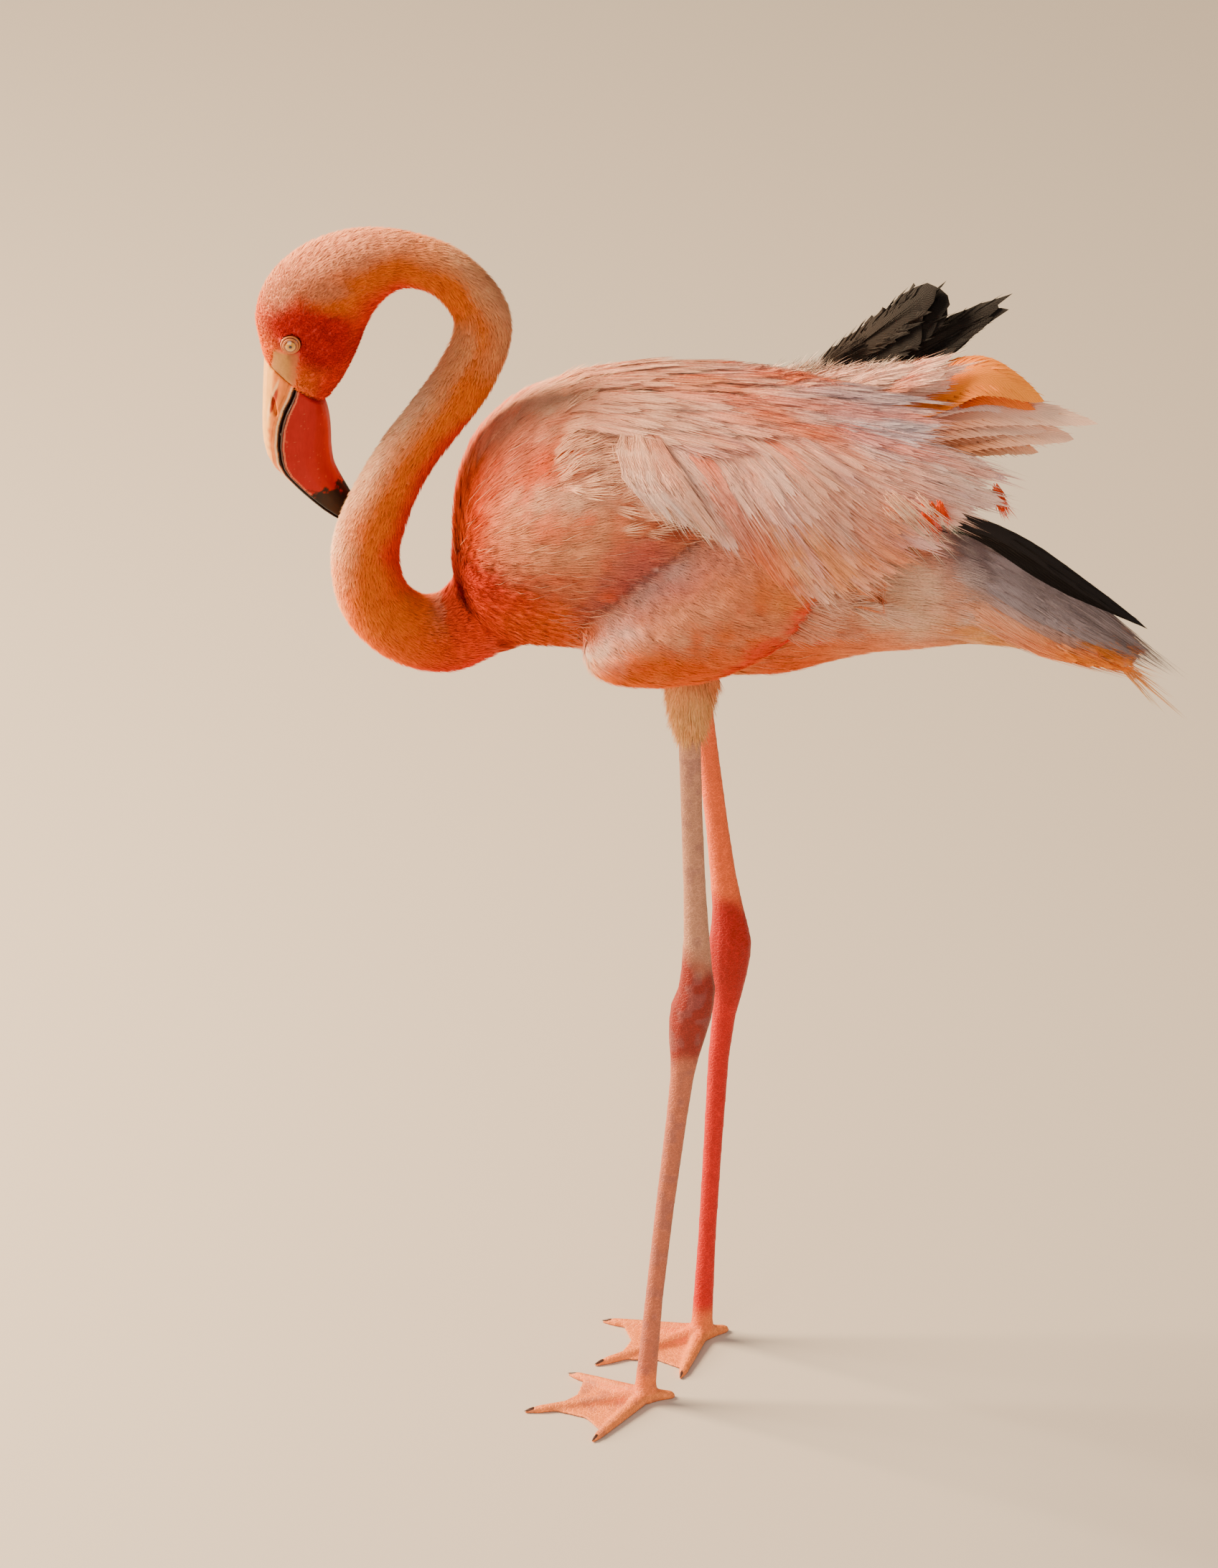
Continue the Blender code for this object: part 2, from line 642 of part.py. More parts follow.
def flatten_sole(foot, cutters):
    """Cuts the foot level, so that it stands on flats at one height."""
    corners = [(x, y, z) for z in (-0.02, 0.0002) for x, y in ((-1, -1), (1, -1), (1, 1), (-1, 1))]
    sides = [(k, (k + 1) % 4, (k + 1) % 4 + 4, k + 4) for k in range(4)]
    floor = mesh_object("floor_cutter", corners, [(0, 1, 2, 3), (4, 5, 6, 7), *sides], cutters)
    apply_boolean(foot, "DIFFERENCE", object=cutter_from(floor, cutters))
    keep_largest(foot)


def make_wing(bird, torso_clearance):
    """The left wing: a lobe with tiers of coverts, and the inner flight feathers behind it."""
    form = Form(WING_ROWS)
    rings = [form.ring(u, WING_SIDES) for u in spaced(0.0, form.last, 9)]
    lobe = loft("wing_left", rings, bird)
    vanes = collection_named("wing_vanes")
    for tier in range(2):
        turn_root, turn_tip = 46.0 + 42.0 * tier, 84.0 + 40.0 * tier
        for u in spaced(1.5 + 0.4 * tier, 4.9 + 0.9 * tier, 5):
            tip = (min(u + 1.3 + 0.25 * tier, 6.9), turn_tip)
            vane_on(form, (u, turn_root), tip, (-0.0020, 0.0028), 0.036 + 0.002 * tier, vanes, roll=0.0018)
    for k in range(4):
        root = Vector((0.070, -0.0795, 0.654 + 0.005 * k))
        middle = Vector((0.094, -0.0860 + 0.0018 * k, 0.641 + 0.009 * k))
        tip = Vector((0.118, -0.0870 + 0.0024 * k, 0.628 + 0.013 * k))
        vane_through((root, middle, tip), (0.0, -1.0, 0.25), 0.024, vanes, roll=0.0014)
    return fused("wing_left", lobe, vanes, (torso_clearance,))


def mantle_targets(share, side):
    """Root and tip of a back feather as x and turn, from the shoulder (0) to the rump (1)."""
    shares = (0.0, 0.2, 0.4, 0.55, 0.7, 0.85, 1.0)
    tips_left = ((-0.03, 70), (0.028, 84), (0.072, 112), (0.11, 99), (0.15, 82), (0.185, 62), (0.202, 34))
    tips_right = ((-0.03, 66), (0.000, 68), (0.020, 62), (0.040, 54), (0.058, 46), (0.075, 37), (0.098, 22))
    tips = tips_left if side < 0 else tips_right
    tip = [float(np.interp(share, shares, column)) for column in zip(*tips)]
    root = (-0.070 + 0.110 * share, 33.0 - 24.0 * share)
    return root, tip


def make_mantle(bird, torso_clearance):
    """The pad of back feathers, with long ones that hang over both wings."""
    form = level_form(MANTLE_ROWS)
    arc = spaced(-50.0, 50.0, 13)
    rings = []
    for x in spaced(-0.112, 0.084, 9):
        u = form.row_at(x)
        edge = [form.point(u, turn) for turn in arc]
        rings.append([*edge, Vector((x, -0.040, 0.690)), Vector((x, 0.040, 0.690))])
    pad = loft("mantle", rings, bird)
    vanes = collection_named("mantle_vanes")
    tiers = ((7, 1.00, 0.041, 0.0006), (6, 0.74, 0.040, 0.0030), (4, 0.48, 0.042, 0.0048))
    for side in (-1.0, 1.0):
        form.side = side
        for tier, (count, length, width, lift) in enumerate(tiers):
            for share in spaced(0.02 * tier, 1.0 - 0.03 * tier, count):
                (root_x, root_turn), (tip_x, tip_turn) = mantle_targets(share, side)
                end_x = root_x + (tip_x - root_x) * length
                end_turn = root_turn + (tip_turn - root_turn) * length
                root = (form.row_at(root_x), root_turn + 4.0 - 7.0 * tier)
                tip = (form.row_at(end_x), end_turn)
                lifts = (-0.0030 + 0.0003 * tier, lift)
                vane_on(form, root, tip, lifts, width, vanes, roll=side * 0.0020)
    form.side = -1.0
    return fused("mantle", pad, vanes, (torso_clearance,))


def make_primaries_left(bird, wing_clearance):
    """The black flight feathers of the left wing, folded along the side of the tail."""
    hand_line = (Vector((0.070, -0.0770, 0.680)), Vector((0.100, -0.0770, 0.692)), Vector((0.128, -0.0740, 0.697)))
    rows = [(*p, 100.0, 0.0085 - 0.0018 * k, 0.0060 - 0.0010 * k) for k, p in enumerate(hand_line)]
    form = Form(rows)
    hand = loft("primaries_left", [form.ring(u, 12) for u in spaced(0.0, 2.0, 5)], bird)
    vanes = collection_named("primaries_left_vanes")
    line = (
        Vector((0.108, -0.0765, 0.693)),
        Vector((0.150, -0.0700, 0.696)),
        Vector((0.200, -0.0500, 0.664)),
        Vector((0.250, -0.0370, 0.622)),
        Vector((0.293, -0.0300, 0.588)),
    )
    for k in range(5):
        inward = Vector((0.0, 0.0017, -0.0004)) * k
        reach = 1.0 - 0.055 * k
        points = [line[0] + (p - line[0]) * reach + inward for p in line]
        vane_through(points, (0.30, -0.70, 0.64), 0.018, vanes, roll=0.0006, outline=FLIGHT)
    return fused("primaries_left", hand, vanes, (wing_clearance,))


def make_primaries_right(bird, wing_clearance):
    """The black flight feathers of the right wing, raised over the rump."""
    rows = (
        (-0.010, 0.0930, 0.674, 124.0, 0.0050, 0.0030),
        (0.010, 0.0960, 0.684, 122.0, 0.0110, 0.0065),
        (0.040, 0.0965, 0.701, 121.0, 0.0135, 0.0080),
        (0.070, 0.0950, 0.720, 122.0, 0.0105, 0.0065),
        (0.092, 0.0920, 0.736, 124.0, 0.0050, 0.0035),
    )
    form = Form(rows)
    hand = loft("primaries_right", [form.ring(u, 12) for u in spaced(0.0, 4.0, 7)], bird)
    vanes = collection_named("primaries_right_vanes")
    count = 6
    for k in range(count):
        share = k / (count - 1)
        root = Vector((0.058 + 0.004 * share, 0.0985 - 0.0014 * k, 0.711 - 0.005 * share))
        tip = Vector((0.150 + 0.045 * share, 0.080 - 0.010 * share, 0.795 - 0.013 * share**2))
        middle = (root + tip) / 2 + Vector((0.004, 0.002, -0.002 - 0.010 * share))
        inward = Vector((0.0, -0.0009, 0.0008)) * k
        points = (root, middle + inward, tip + inward)
        vane_through(points, (-0.35, -0.72, 0.60), 0.022, vanes, roll=0.0006, outline=FLIGHT)
    return fused("primaries_right", hand, vanes, (wing_clearance,))


def make_tertials(bird, wing_clearance, torso_clearance):
    """The long inner feathers of the right wing, which stand out over the tail."""
    stem_line = (Vector((0.086, 0.0770, 0.690)), Vector((0.106, 0.0690, 0.712)), Vector((0.124, 0.0600, 0.728)))
    rows = [(*p, 120.0, 0.0080 - 0.0012 * k, 0.0060 - 0.0008 * k) for k, p in enumerate(stem_line)]
    form = Form(rows)
    stem = loft("tertials_right", [form.ring(u, 12) for u in spaced(0.0, 2.0, 5)], bird)
    vanes = collection_named("tertial_vanes")
    tips = (
        (0.168, 0.0520, 0.7590, 0.026),
        (0.216, 0.0390, 0.7260, 0.028),
        (0.2556, 0.0330, 0.7150, 0.027),
        (0.2422, 0.0300, 0.7036, 0.028),
        (0.1994, 0.0300, 0.6933, 0.026),
    )
    for k, (x, y, z, width) in enumerate(tips):
        root = Vector((0.113, 0.0655 - 0.0017 * k, 0.720 - 0.0010 * k))
        tip = Vector((x, y, z))
        arch = 0.007 if k < 2 else 0.005
        middle = (root + tip) / 2 + Vector((0.0, 0.0, arch))
        vane_through((root, middle, tip), (-0.10, -0.62, 0.78), width, vanes, outline=FLIGHT, roll=0.0008)
    return fused("tertials_right", stem, vanes, (wing_clearance, torso_clearance))


def make_tail(bird, body):
    """The tail's flesh and short feathers, with the long tail feathers in tiers above and below."""
    start = TRUNK_END + GAP
    rings = [body.ring(body.row_at(x), BODY_SIDES) for x in (start, *spaced(0.154, 0.272, 6))]
    core = loft("tail", rings, bird)
    vanes = collection_named("tail_vanes")
    for turn in spaced(-100.0, 100.0, 9):
        spread = turn / 100.0
        root = body.point(body.row_at(0.205), turn * 0.8, -0.0015)
        middle = body.point(body.row_at(0.245), turn, 0.0014)
        tip = Vector((0.293 - 0.010 * abs(spread), -0.020 * spread, 0.557 - 0.003 * spread**2))
        vane_through((root, middle, tip), (0.45, -0.5 * spread, 0.8), 0.015, vanes, outline=FLIGHT, roll=0.0005)
    for middle_turn, spread in ((0.0, 60.0), (180.0, 60.0)):
        for turn in spaced(middle_turn - spread, middle_turn + spread, 5):
            root, tip = (body.row_at(0.160), turn), (body.row_at(0.232), turn)
            vane_on(body, root, tip, (-0.0018, 0.0040), 0.026, vanes, roll=0.0014)
    return fused("tail", core, vanes)


def make_wisps(bird):
    """The two loose strands that hang under the tip of the tail."""
    knot = ball("tail_wisps", WISP_ROOT, (0.0030, 0.0026, 0.0020), bird, 8, 6)
    vanes = collection_named("wisps")
    for end in ((0.2957, -0.002, 0.5164), (0.3209, 0.003, 0.5013)):
        middle = (WISP_ROOT + Vector(end)) / 2 + Vector((0.006, 0.0, 0.006))
        points = (WISP_ROOT, middle, end)
        vane_through(points, (0.3, -0.9, 0.3), 0.0030, vanes, outline=STRAND, thickness=0.0012)
    return fused("tail_wisps", knot, vanes)


def centre_on_floor(bird):
    """Sets the origin on the floor, under the middle of the bird's box."""
    corners = np.array([obj.matrix_world @ v.co for obj in bird.objects for v in obj.data.vertices])
    low, high = corners.min(0), corners.max(0)
    shift = Matrix.Translation((-(low[0] + high[0]) / 2, -(low[1] + high[1]) / 2, -low[2]))
    for obj in bird.objects:
        obj.data.transform(shift)


def main():
    clear_scene()
    bird = collection_named("flamingo")
    cutters = collection_named("cutters")
    body = level_form(BODY_ROWS)
    _, torso_clearance = make_torso(bird, body, cutters)
    make_neck(bird, torso_clearance)
    make_head(bird, cutters)
    make_bill(bird, cutters)
    for name in LEGS:
        make_leg(bird, cutters, name, torso_clearance)
    wing_form = Form(WING_ROWS)
    room = [wing_form.ring(u, WING_SIDES, WING_ROOM) for u in spaced(0.0, wing_form.last, 9)]
    left_clearance = cutter_from(loft("wing_left_clearance", room, cutters), cutters)
    right_clearance = cutter_from(mirrored(left_clearance, "wing_right_clearance", cutters), cutters)
    left = finished(make_wing(bird, torso_clearance), "plumage")
    mirrored(left, "wing_right", bird)
    finished(make_mantle(bird, torso_clearance), "back_plumage")
    finished(make_primaries_left(bird, left_clearance), "flight_black")
    finished(make_primaries_right(bird, right_clearance), "flight_black")
    finished(make_tertials(bird, right_clearance, torso_clearance), "back_plumage")
    finished(make_tail(bird, body), "plumage")
    finished(make_wisps(bird), "plumage")
    centre_on_floor(bird)


main()
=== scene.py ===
import math
import random

import bpy
import numpy as np
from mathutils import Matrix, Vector
from mathutils.bvhtree import BVHTree


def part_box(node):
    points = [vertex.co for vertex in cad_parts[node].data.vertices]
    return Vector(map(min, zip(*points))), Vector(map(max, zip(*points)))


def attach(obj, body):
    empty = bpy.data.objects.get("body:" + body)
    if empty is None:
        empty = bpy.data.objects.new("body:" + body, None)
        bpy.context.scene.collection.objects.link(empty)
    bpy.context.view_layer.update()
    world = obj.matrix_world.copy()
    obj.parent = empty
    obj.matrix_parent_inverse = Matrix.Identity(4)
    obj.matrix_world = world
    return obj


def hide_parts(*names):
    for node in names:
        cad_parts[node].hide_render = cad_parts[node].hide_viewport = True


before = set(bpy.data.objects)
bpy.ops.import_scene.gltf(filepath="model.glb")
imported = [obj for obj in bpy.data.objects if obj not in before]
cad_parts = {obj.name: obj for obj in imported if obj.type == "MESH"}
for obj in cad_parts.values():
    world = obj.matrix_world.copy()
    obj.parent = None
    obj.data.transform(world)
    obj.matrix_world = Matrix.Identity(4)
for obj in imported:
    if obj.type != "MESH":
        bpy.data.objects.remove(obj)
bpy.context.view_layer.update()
bpy.ops.object.select_all(action="DESELECT")
eyeLow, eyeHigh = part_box("eye_left")
drawnEye = Vector((-0.2913, -0.0095, 0.8002))  # its place before the solids were centred
offset = (eyeLow + eyeHigh) / 2 - drawnEye
shift = np.array(offset)
rng = np.random.default_rng(7)

# the view is from the bird's left and above; column and row give the drawing's origin in the frame
view = {"angle": math.radians(28.0), "distance": 25.0, "perMetre": 2040.0, "column": 1002, "floorRow": 1913,
        "frame": (1697, 2184)}
print("frame loaded")


# colour and shader tools

def linearColour(hexText):
    values = [int(hexText[k:k + 2], 16) / 255 for k in (1, 3, 5)]
    return np.array([v / 12.92 if v <= 0.04045 else ((v + 0.055) / 1.055) ** 2.4 for v in values])


# links maps an input's name or number to a value, to a node or to one output of a node
def addNode(tree, kind, links=None, **settings):
    node = tree.nodes.new("ShaderNode" + kind)
    for key, value in settings.items():
        setattr(node, key, value)
    for key, value in (links or {}).items():
        value = value.outputs[0] if isinstance(value, bpy.types.Node) else value
        if isinstance(value, bpy.types.NodeSocket):
            tree.links.new(value, node.inputs[key])
        else:
            node.inputs[key].default_value = value
    return node


def newMaterial(name, sockets):
    material = bpy.data.materials.new(name)
    material.use_nodes = True
    shader = material.node_tree.nodes["Principled BSDF"]
    for key, value in sockets.items():
        shader.inputs[key].default_value = value
    return material, material.node_tree, shader


# one node's output lightens and darkens the painted tints, and one lifts the surface
def shadeAndLift(tree, shader, shade, height, strength, distance):
    painted = addNode(tree, "Attribute", attribute_name="tint")
    mixed = addNode(tree, "VectorMath", {0: painted, 1: shade}, operation="MULTIPLY")
    bump = addNode(tree, "Bump", {"Height": height, "Strength": strength, "Distance": distance})
    tree.links.new(mixed.outputs[0], shader.inputs["Base Color"])
    tree.links.new(bump.outputs[0], shader.inputs["Normal"])


def ramp(values, low, high):
    t = np.clip((np.asarray(values, float) - low) / (high - low), 0.0, 1.0)
    return t * t * (3 - 2 * t)


def unit(vectors):
    return vectors / np.maximum(np.linalg.norm(vectors, axis=-1, keepdims=True), 1e-9)


# smooth noise from 0 to 1, with lumps of about this size in metres
def softNoise(points, size, seed):
    scaled = np.asarray(points) / size + seed * 17.13
    cell = np.floor(scaled).astype(np.int64)
    part = scaled - cell
    part = part * part * (3 - 2 * part)
    total = 0.0
    for corner in range(8):
        step = np.array([corner & 1, corner >> 1 & 1, corner >> 2 & 1])
        key = (cell + step) @ np.array([73856093, 19349663, 83492791]) + seed * 7919
        value = np.sin((key % 100003) * 12.9898) * 43758.5453
        total = total + np.prod(np.where(step, part, 1 - part), axis=-1) * (value - np.floor(value))
    return total


def flatTints(count, colour, spread=0.12):
    return linearColour(colour) * rng.uniform(1 - spread, 1 + spread, (count, 1))


# lays colours over the base one after another: a colour and its share at each point, then the next
def blendColours(base, *layers):
    for colour, amount in zip(layers[::2], layers[1::2]):
        base = base + (linearColour(colour) - base) * np.asarray(amount)[..., None]
    return base


# places from start on, moved by step as the share goes from 0 to 1
def placesAlong(share, start, step):
    return np.array(start) + np.array(step) * share[:, None]


# random moves of up to this much along each axis
def strewn(count, reach):
    return rng.uniform(-1, 1, (count, len(reach))) * np.array(reach)


# mesh tools

def pickOnly(*objects):
    bpy.ops.object.select_all(action="DESELECT")
    for obj in objects:
        obj.select_set(True)
    bpy.context.view_layer.objects.active = objects[-1]


def joinAll(pieces, label):
    pickOnly(*pieces)
    if len(pieces) > 1:
        bpy.ops.object.join()
    whole = bpy.context.view_layer.objects.active
    whole.name = whole.data.name = label
    return whole


# one mesh from copies of these solids, with their loose triangles welded
def joinedCopy(nodes, label):
    copies = []
    for node in nodes:
        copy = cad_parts[node].copy()
        copy.data = copy.data.copy()
        copy.parent = None
        for key in list(copy.keys()):
            del copy[key]
        bpy.context.scene.collection.objects.link(copy)
        copies.append(copy)
    whole = joinAll(copies, label)
    whole.data.materials.clear()
    bpy.ops.object.mode_set(mode="EDIT")
    bpy.ops.mesh.select_all(action="SELECT")
    bpy.ops.mesh.remove_doubles(threshold=0.00001)
    bpy.ops.object.mode_set(mode="OBJECT")
    return whole


def applyModifier(obj, kind, **settings):
    modifier = obj.modifiers.new(kind.lower(), kind)
    for key, value in settings.items():
        setattr(modifier, key, value)
    pickOnly(obj)
    bpy.ops.object.modifier_apply(modifier=modifier.name)


# removes loose parts of fewer points than this, and joins the others again
def dropScraps(obj, fewest):
    pickOnly(obj)
    bpy.ops.mesh.separate(type="LOOSE")
    parts = list(bpy.context.selected_objects)
    largest = max(parts, key=lambda part: len(part.data.vertices))
    parts.remove(largest)
    kept = [part for part in parts if len(part.data.vertices) >= fewest]
    for part in parts:
        if part not in kept:
            bpy.data.objects.remove(part)
    return joinAll([*kept, largest], "plumageSkin")


# an even skin over these solids, with its steps smoothed out
def smoothSkin(nodes, label, voxel, rounds):
    obj = joinedCopy(nodes, label)
    applyModifier(obj, "REMESH", mode="VOXEL", voxel_size=voxel)
    applyModifier(obj, "SMOOTH", factor=0.5, iterations=rounds)
    bpy.ops.object.shade_smooth()
    return obj


def readVectors(mesh, what):
    flat = np.empty(len(mesh.vertices) * 3, np.float32)
    mesh.vertices.foreach_get(what, flat)
    return flat.reshape(-1, 3).astype(float)


def paintPoints(mesh, colours):
    layer = mesh.color_attributes.new("tint", "FLOAT_COLOR", "POINT")
    flat = np.ones((len(colours), 4), np.float32)
    flat[:, :3] = np.clip(colours, 0.0, 1.0)
    layer.data.foreach_set("color", flat.ravel())


def finishPiece(obj, material, slot, *replaced):
    obj.data.materials.clear()
    obj.data.materials.append(material)
    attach(obj, "root")
    if replaced:
        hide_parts(*replaced)


def surfaceOf(obj):
    return BVHTree.FromObject(obj, bpy.context.evaluated_depsgraph_get())


# guide line: from the bill's base over the head and down the neck into the breast

guideRows = np.array((
    (-0.2889, 0.014, 0.7608), (-0.2851, 0.013, 0.7815), (-0.2800, 0.012, 0.7990), (-0.2700, 0.012, 0.8200),
    (-0.2526, 0.012, 0.8392), (-0.2222, 0.012, 0.8526), (-0.2030, 0.012, 0.8502), (-0.1840, 0.010, 0.8430),
    (-0.1640, 0.006, 0.8208), (-0.1608, 0.003, 0.7990), (-0.1732, -0.002, 0.7693), (-0.1912, -0.006, 0.7438),
    (-0.2106, -0.009, 0.7176), (-0.2264, -0.012, 0.6893), (-0.2368, -0.012, 0.6615), (-0.2414, -0.010, 0.6382),
    (-0.2365, -0.007, 0.6050), (-0.2176, -0.004, 0.5812), (-0.1892, 0.000, 0.5718), (-0.1603, 0.000, 0.5890),
    (-0.1284, 0.000, 0.6030),
)) + shift
guideLengths = np.concatenate([[0.0], np.cumsum(np.linalg.norm(np.diff(guideRows, axis=0), axis=1))])
neckEnd = guideLengths[-1]


# for each point its distance along the guide line, and the line's direction there
def alongGuide(points):
    best, along = np.full(len(points), 1e9), np.zeros(len(points))
    heading = np.zeros((len(points), 3))
    for k, (start, end) in enumerate(zip(guideRows[:-1], guideRows[1:])):
        step = end - start
        size = np.linalg.norm(step)
        t = np.clip(((points - start) @ step) / size**2, 0.0, 1.0)
        away = np.linalg.norm(points - (start + t[:, None] * step), axis=1)
        closer = away < best
        best = np.where(closer, away, best)
        along = np.where(closer, guideLengths[k] + t * size, along)
        before, after = guideRows[max(k - 1, 0)], guideRows[min(k + 2, len(guideRows) - 1)]
        lead = (1 - t)[:, None] * unit(end - before) + t[:, None] * unit(after - start)
        heading = np.where(closer[:, None], lead, heading)
    return along, unit(heading)


# regions: how near each point is to the solids of the neck, body, wings, tail, back and thighs

regionNodes = {"neck": ("head", "neck_upper", "neck_middle", "neck_lower", "neck_base"), "body": ("torso",),
               "wing": ("wing_left", "wing_right"), "tail": ("tail",), "back": ("mantle",),
               "thigh": ("leg_left_thigh", "leg_right_thigh")}
regionTrees = {}
for region, nodes in regionNodes.items():
    nearCopy = joinedCopy(nodes, "near")
    regionTrees[region] = surfaceOf(nearCopy)
    bpy.data.objects.remove(nearCopy)


# share of each region at each point; the neck runs out softly into the breast
def regionWeights(points):
    away = np.array([[tree.find_nearest(Vector(p))[3] for p in points] for tree in regionTrees.values()])
    weights = np.exp(-(away - away.min(0)) / 0.003)
    weights = dict(zip(regionTrees, weights / weights.sum(0)))
    x, z = points[:, 0] - shift[0], points[:, 2]
    neck = weights["neck"] * np.maximum(ramp(x, -0.138, -0.172), ramp(z, 0.68, 0.71))
    breast = np.where(z < 0.64, ramp(x, -0.150, -0.185), 0.0)
    neck = np.maximum(neck, breast * (1 - weights["wing"]))
    rest = sum(value for region, value in weights.items() if region != "neck")
    for region in weights:
        weights[region] = weights[region] * (1 - neck) / np.maximum(rest, 1e-6)
    weights["body"] = np.where(rest < 1e-4, 1 - neck, weights["body"])
    weights["neck"] = neck
    return weights


def onlyRegion(chosen, count):
    return {region: np.full(count, float(region == chosen)) for region in regionTrees}


# height over the line from the wrist along the wing's front edge
def overWrist(x, z, slope=0.62):
    return (z - 0.592) - slope * (x + 0.094)


def fromBreast(x, z):
    return np.hypot(x + 0.165, z - 0.590)


# the way the feathers lie: down the neck, out over the breast and back to the tail
def featherFlow(points, weights):
    local = points - shift
    x, z = local[:, 0], local[:, 2]
    neckRoot = local - np.array((-0.180, 0.0, 0.595))
    back = np.tile(np.array((1.0, 0.0, -0.12)), (len(points), 1))
    back[:, 2] += 0.30 * ramp(x, -0.06, -0.12) * ramp(z, 0.66, 0.70)
    back[:, 2] -= 0.36 * ramp(x, 0.08, 0.19)
    body = unit(back + unit(neckRoot) * (np.exp(-np.linalg.norm(neckRoot, axis=1) / 0.10) * 2.8)[:, None])
    lower = ramp(overWrist(x, z, 0.55), 0.03, -0.02)[:, None]
    wing = np.array((0.72, 0.0, -0.66)) * (1 - lower) + np.array((0.96, 0.0, -0.16)) * lower
    inWing, inThigh = weights["wing"][:, None], (weights["thigh"] * ramp(z, 0.574, 0.560))[:, None]
    body = unit(body * (1 - inWing) + wing * inWing)
    body = unit(body * (1 - inThigh) + np.array((0.05, 0.0, -1.0)) * inThigh)
    inNeck = weights["neck"][:, None]
    return unit(alongGuide(points)[1] * inNeck + body * (1 - inNeck))


# markings, painted as soft patches, with a few patches of painted light and shade among them: column and row of
# the middle in the frame, half sizes, tilt, tint, strength

baseTints = {"body": "#e08058", "wing": "#ea8e60", "tail": "#f2a67c", "back": "#f2baa4", "thigh": "#ffb472"}
patches = {
    "body": (
        (700, 560, 90, 40, -35, "#f4b094", 0.8), (800, 560, 120, 48, -12, "#f6bc9c", 0.9),
        # painted light: the first patch here, a narrow pale strip down the front of the breast, is a rim of
        # light
        (668, 610, 16, 90, 12, "#ffccaa", 0.9), (720, 640, 60, 60, 0, "#e0795a", 0.7),
        (652, 740, 26, 130, 4, "#de4a00", 1.0), (640, 850, 90, 70, 0, "#d42a0c", 1.0),
        (720, 870, 90, 42, 8, "#ee4800", 0.9), (820, 880, 110, 30, 4, "#f0681a", 0.8),
        (800, 745, 95, 62, 8, "#ee9f74", 0.9), (790, 700, 70, 26, -6, "#f8c0a0", 0.7),
        # painted shade: the mauve where the flank turns under towards the wing, and the dark red in the gap
        # between the flank, the back and the wing
        (900, 800, 60, 46, 20, "#c8665a", 0.8), (955, 735, 26, 26, 0, "#7a1e0c", 0.9),
        # painted shadow: the first patch here, along the wing's front edge under the flank
        (868, 812, 90, 20, -47, "#bc5c54", 0.85), (760, 650, 50, 20, -30, "#ea6a30", 0.6),
        (1180, 900, 130, 34, -6, "#ea7436", 0.9), (1060, 950, 150, 36, 0, "#e05a14", 0.9),
        (1262, 838, 84, 62, 0, "#ffc8a8", 0.95), (1225, 905, 66, 20, 0, "#f0966a", 0.6),
        (1205, 838, 14, 26, -20, "#f09070", 0.6),
    ),
    "wing": (
        (1008, 767, 64, 32, -20, "#f0b8a4", 0.8), (888, 850, 124, 28, -47, "#f0dcd4", 0.95),
        (835, 925, 24, 30, 0, "#f2cdb4", 0.8), (950, 826, 84, 24, -40, "#d08684", 0.65),
        (960, 870, 70, 40, -35, "#f0a47c", 0.8), (900, 945, 95, 26, -10, "#f06a0a", 0.95),
        (830, 955, 28, 18, 20, "#f28a28", 0.9), (1010, 935, 90, 20, -24, "#ee6412", 0.8),
        (1128, 868, 32, 21, -40, "#f01000", 1.0), (1056, 918, 66, 10, -26, "#ee2c00", 0.85),
        (1120, 830, 50, 22, -20, "#f4924a", 0.8), (981, 900, 11, 24, -15, "#ee6a10", 0.8),
        (1024, 884, 14, 13, 0, "#f07418", 0.75), (1070, 826, 12, 26, -12, "#f07a20", 0.75),
    ),
    "tail": (
        (1400, 805, 230, 44, 31, "#8c7876", 0.95), (1340, 780, 70, 30, 24, "#b09494", 0.7),
        (1500, 905, 150, 20, 14, "#fa8a1a", 0.95), (1390, 888, 120, 24, 10, "#f8a862", 0.85),
        (1270, 810, 60, 44, 0, "#f8c4ac", 0.8),
    ),
    "back": (
        (880, 660, 34, 100, -14, "#ffdecc", 0.95), (1000, 535, 120, 18, 4, "#f28440", 0.9),
        # the first patch here, pale along the top of the back, is partly the pale feathers there and partly
        # painted light on the top edge
        (800, 520, 90, 22, -8, "#ffd2b4", 0.9), (1130, 610, 100, 20, 26, "#ee6e30", 0.8),
        (1050, 690, 34, 70, -18, "#f08658", 0.7), (1250, 600, 110, 44, 24, "#d6c6cc", 0.9),
        (1120, 800, 120, 36, 6, "#f8a05e", 0.8), (1250, 770, 60, 40, 20, "#f48c4e", 0.7),
        (1370, 680, 60, 36, 30, "#fcd4c2", 0.8), (1010, 740, 60, 50, 0, "#f8ceba", 0.7),
        (1180, 700, 60, 70, -20, "#f2b090", 0.6),
    ),
    "thigh": (),
}


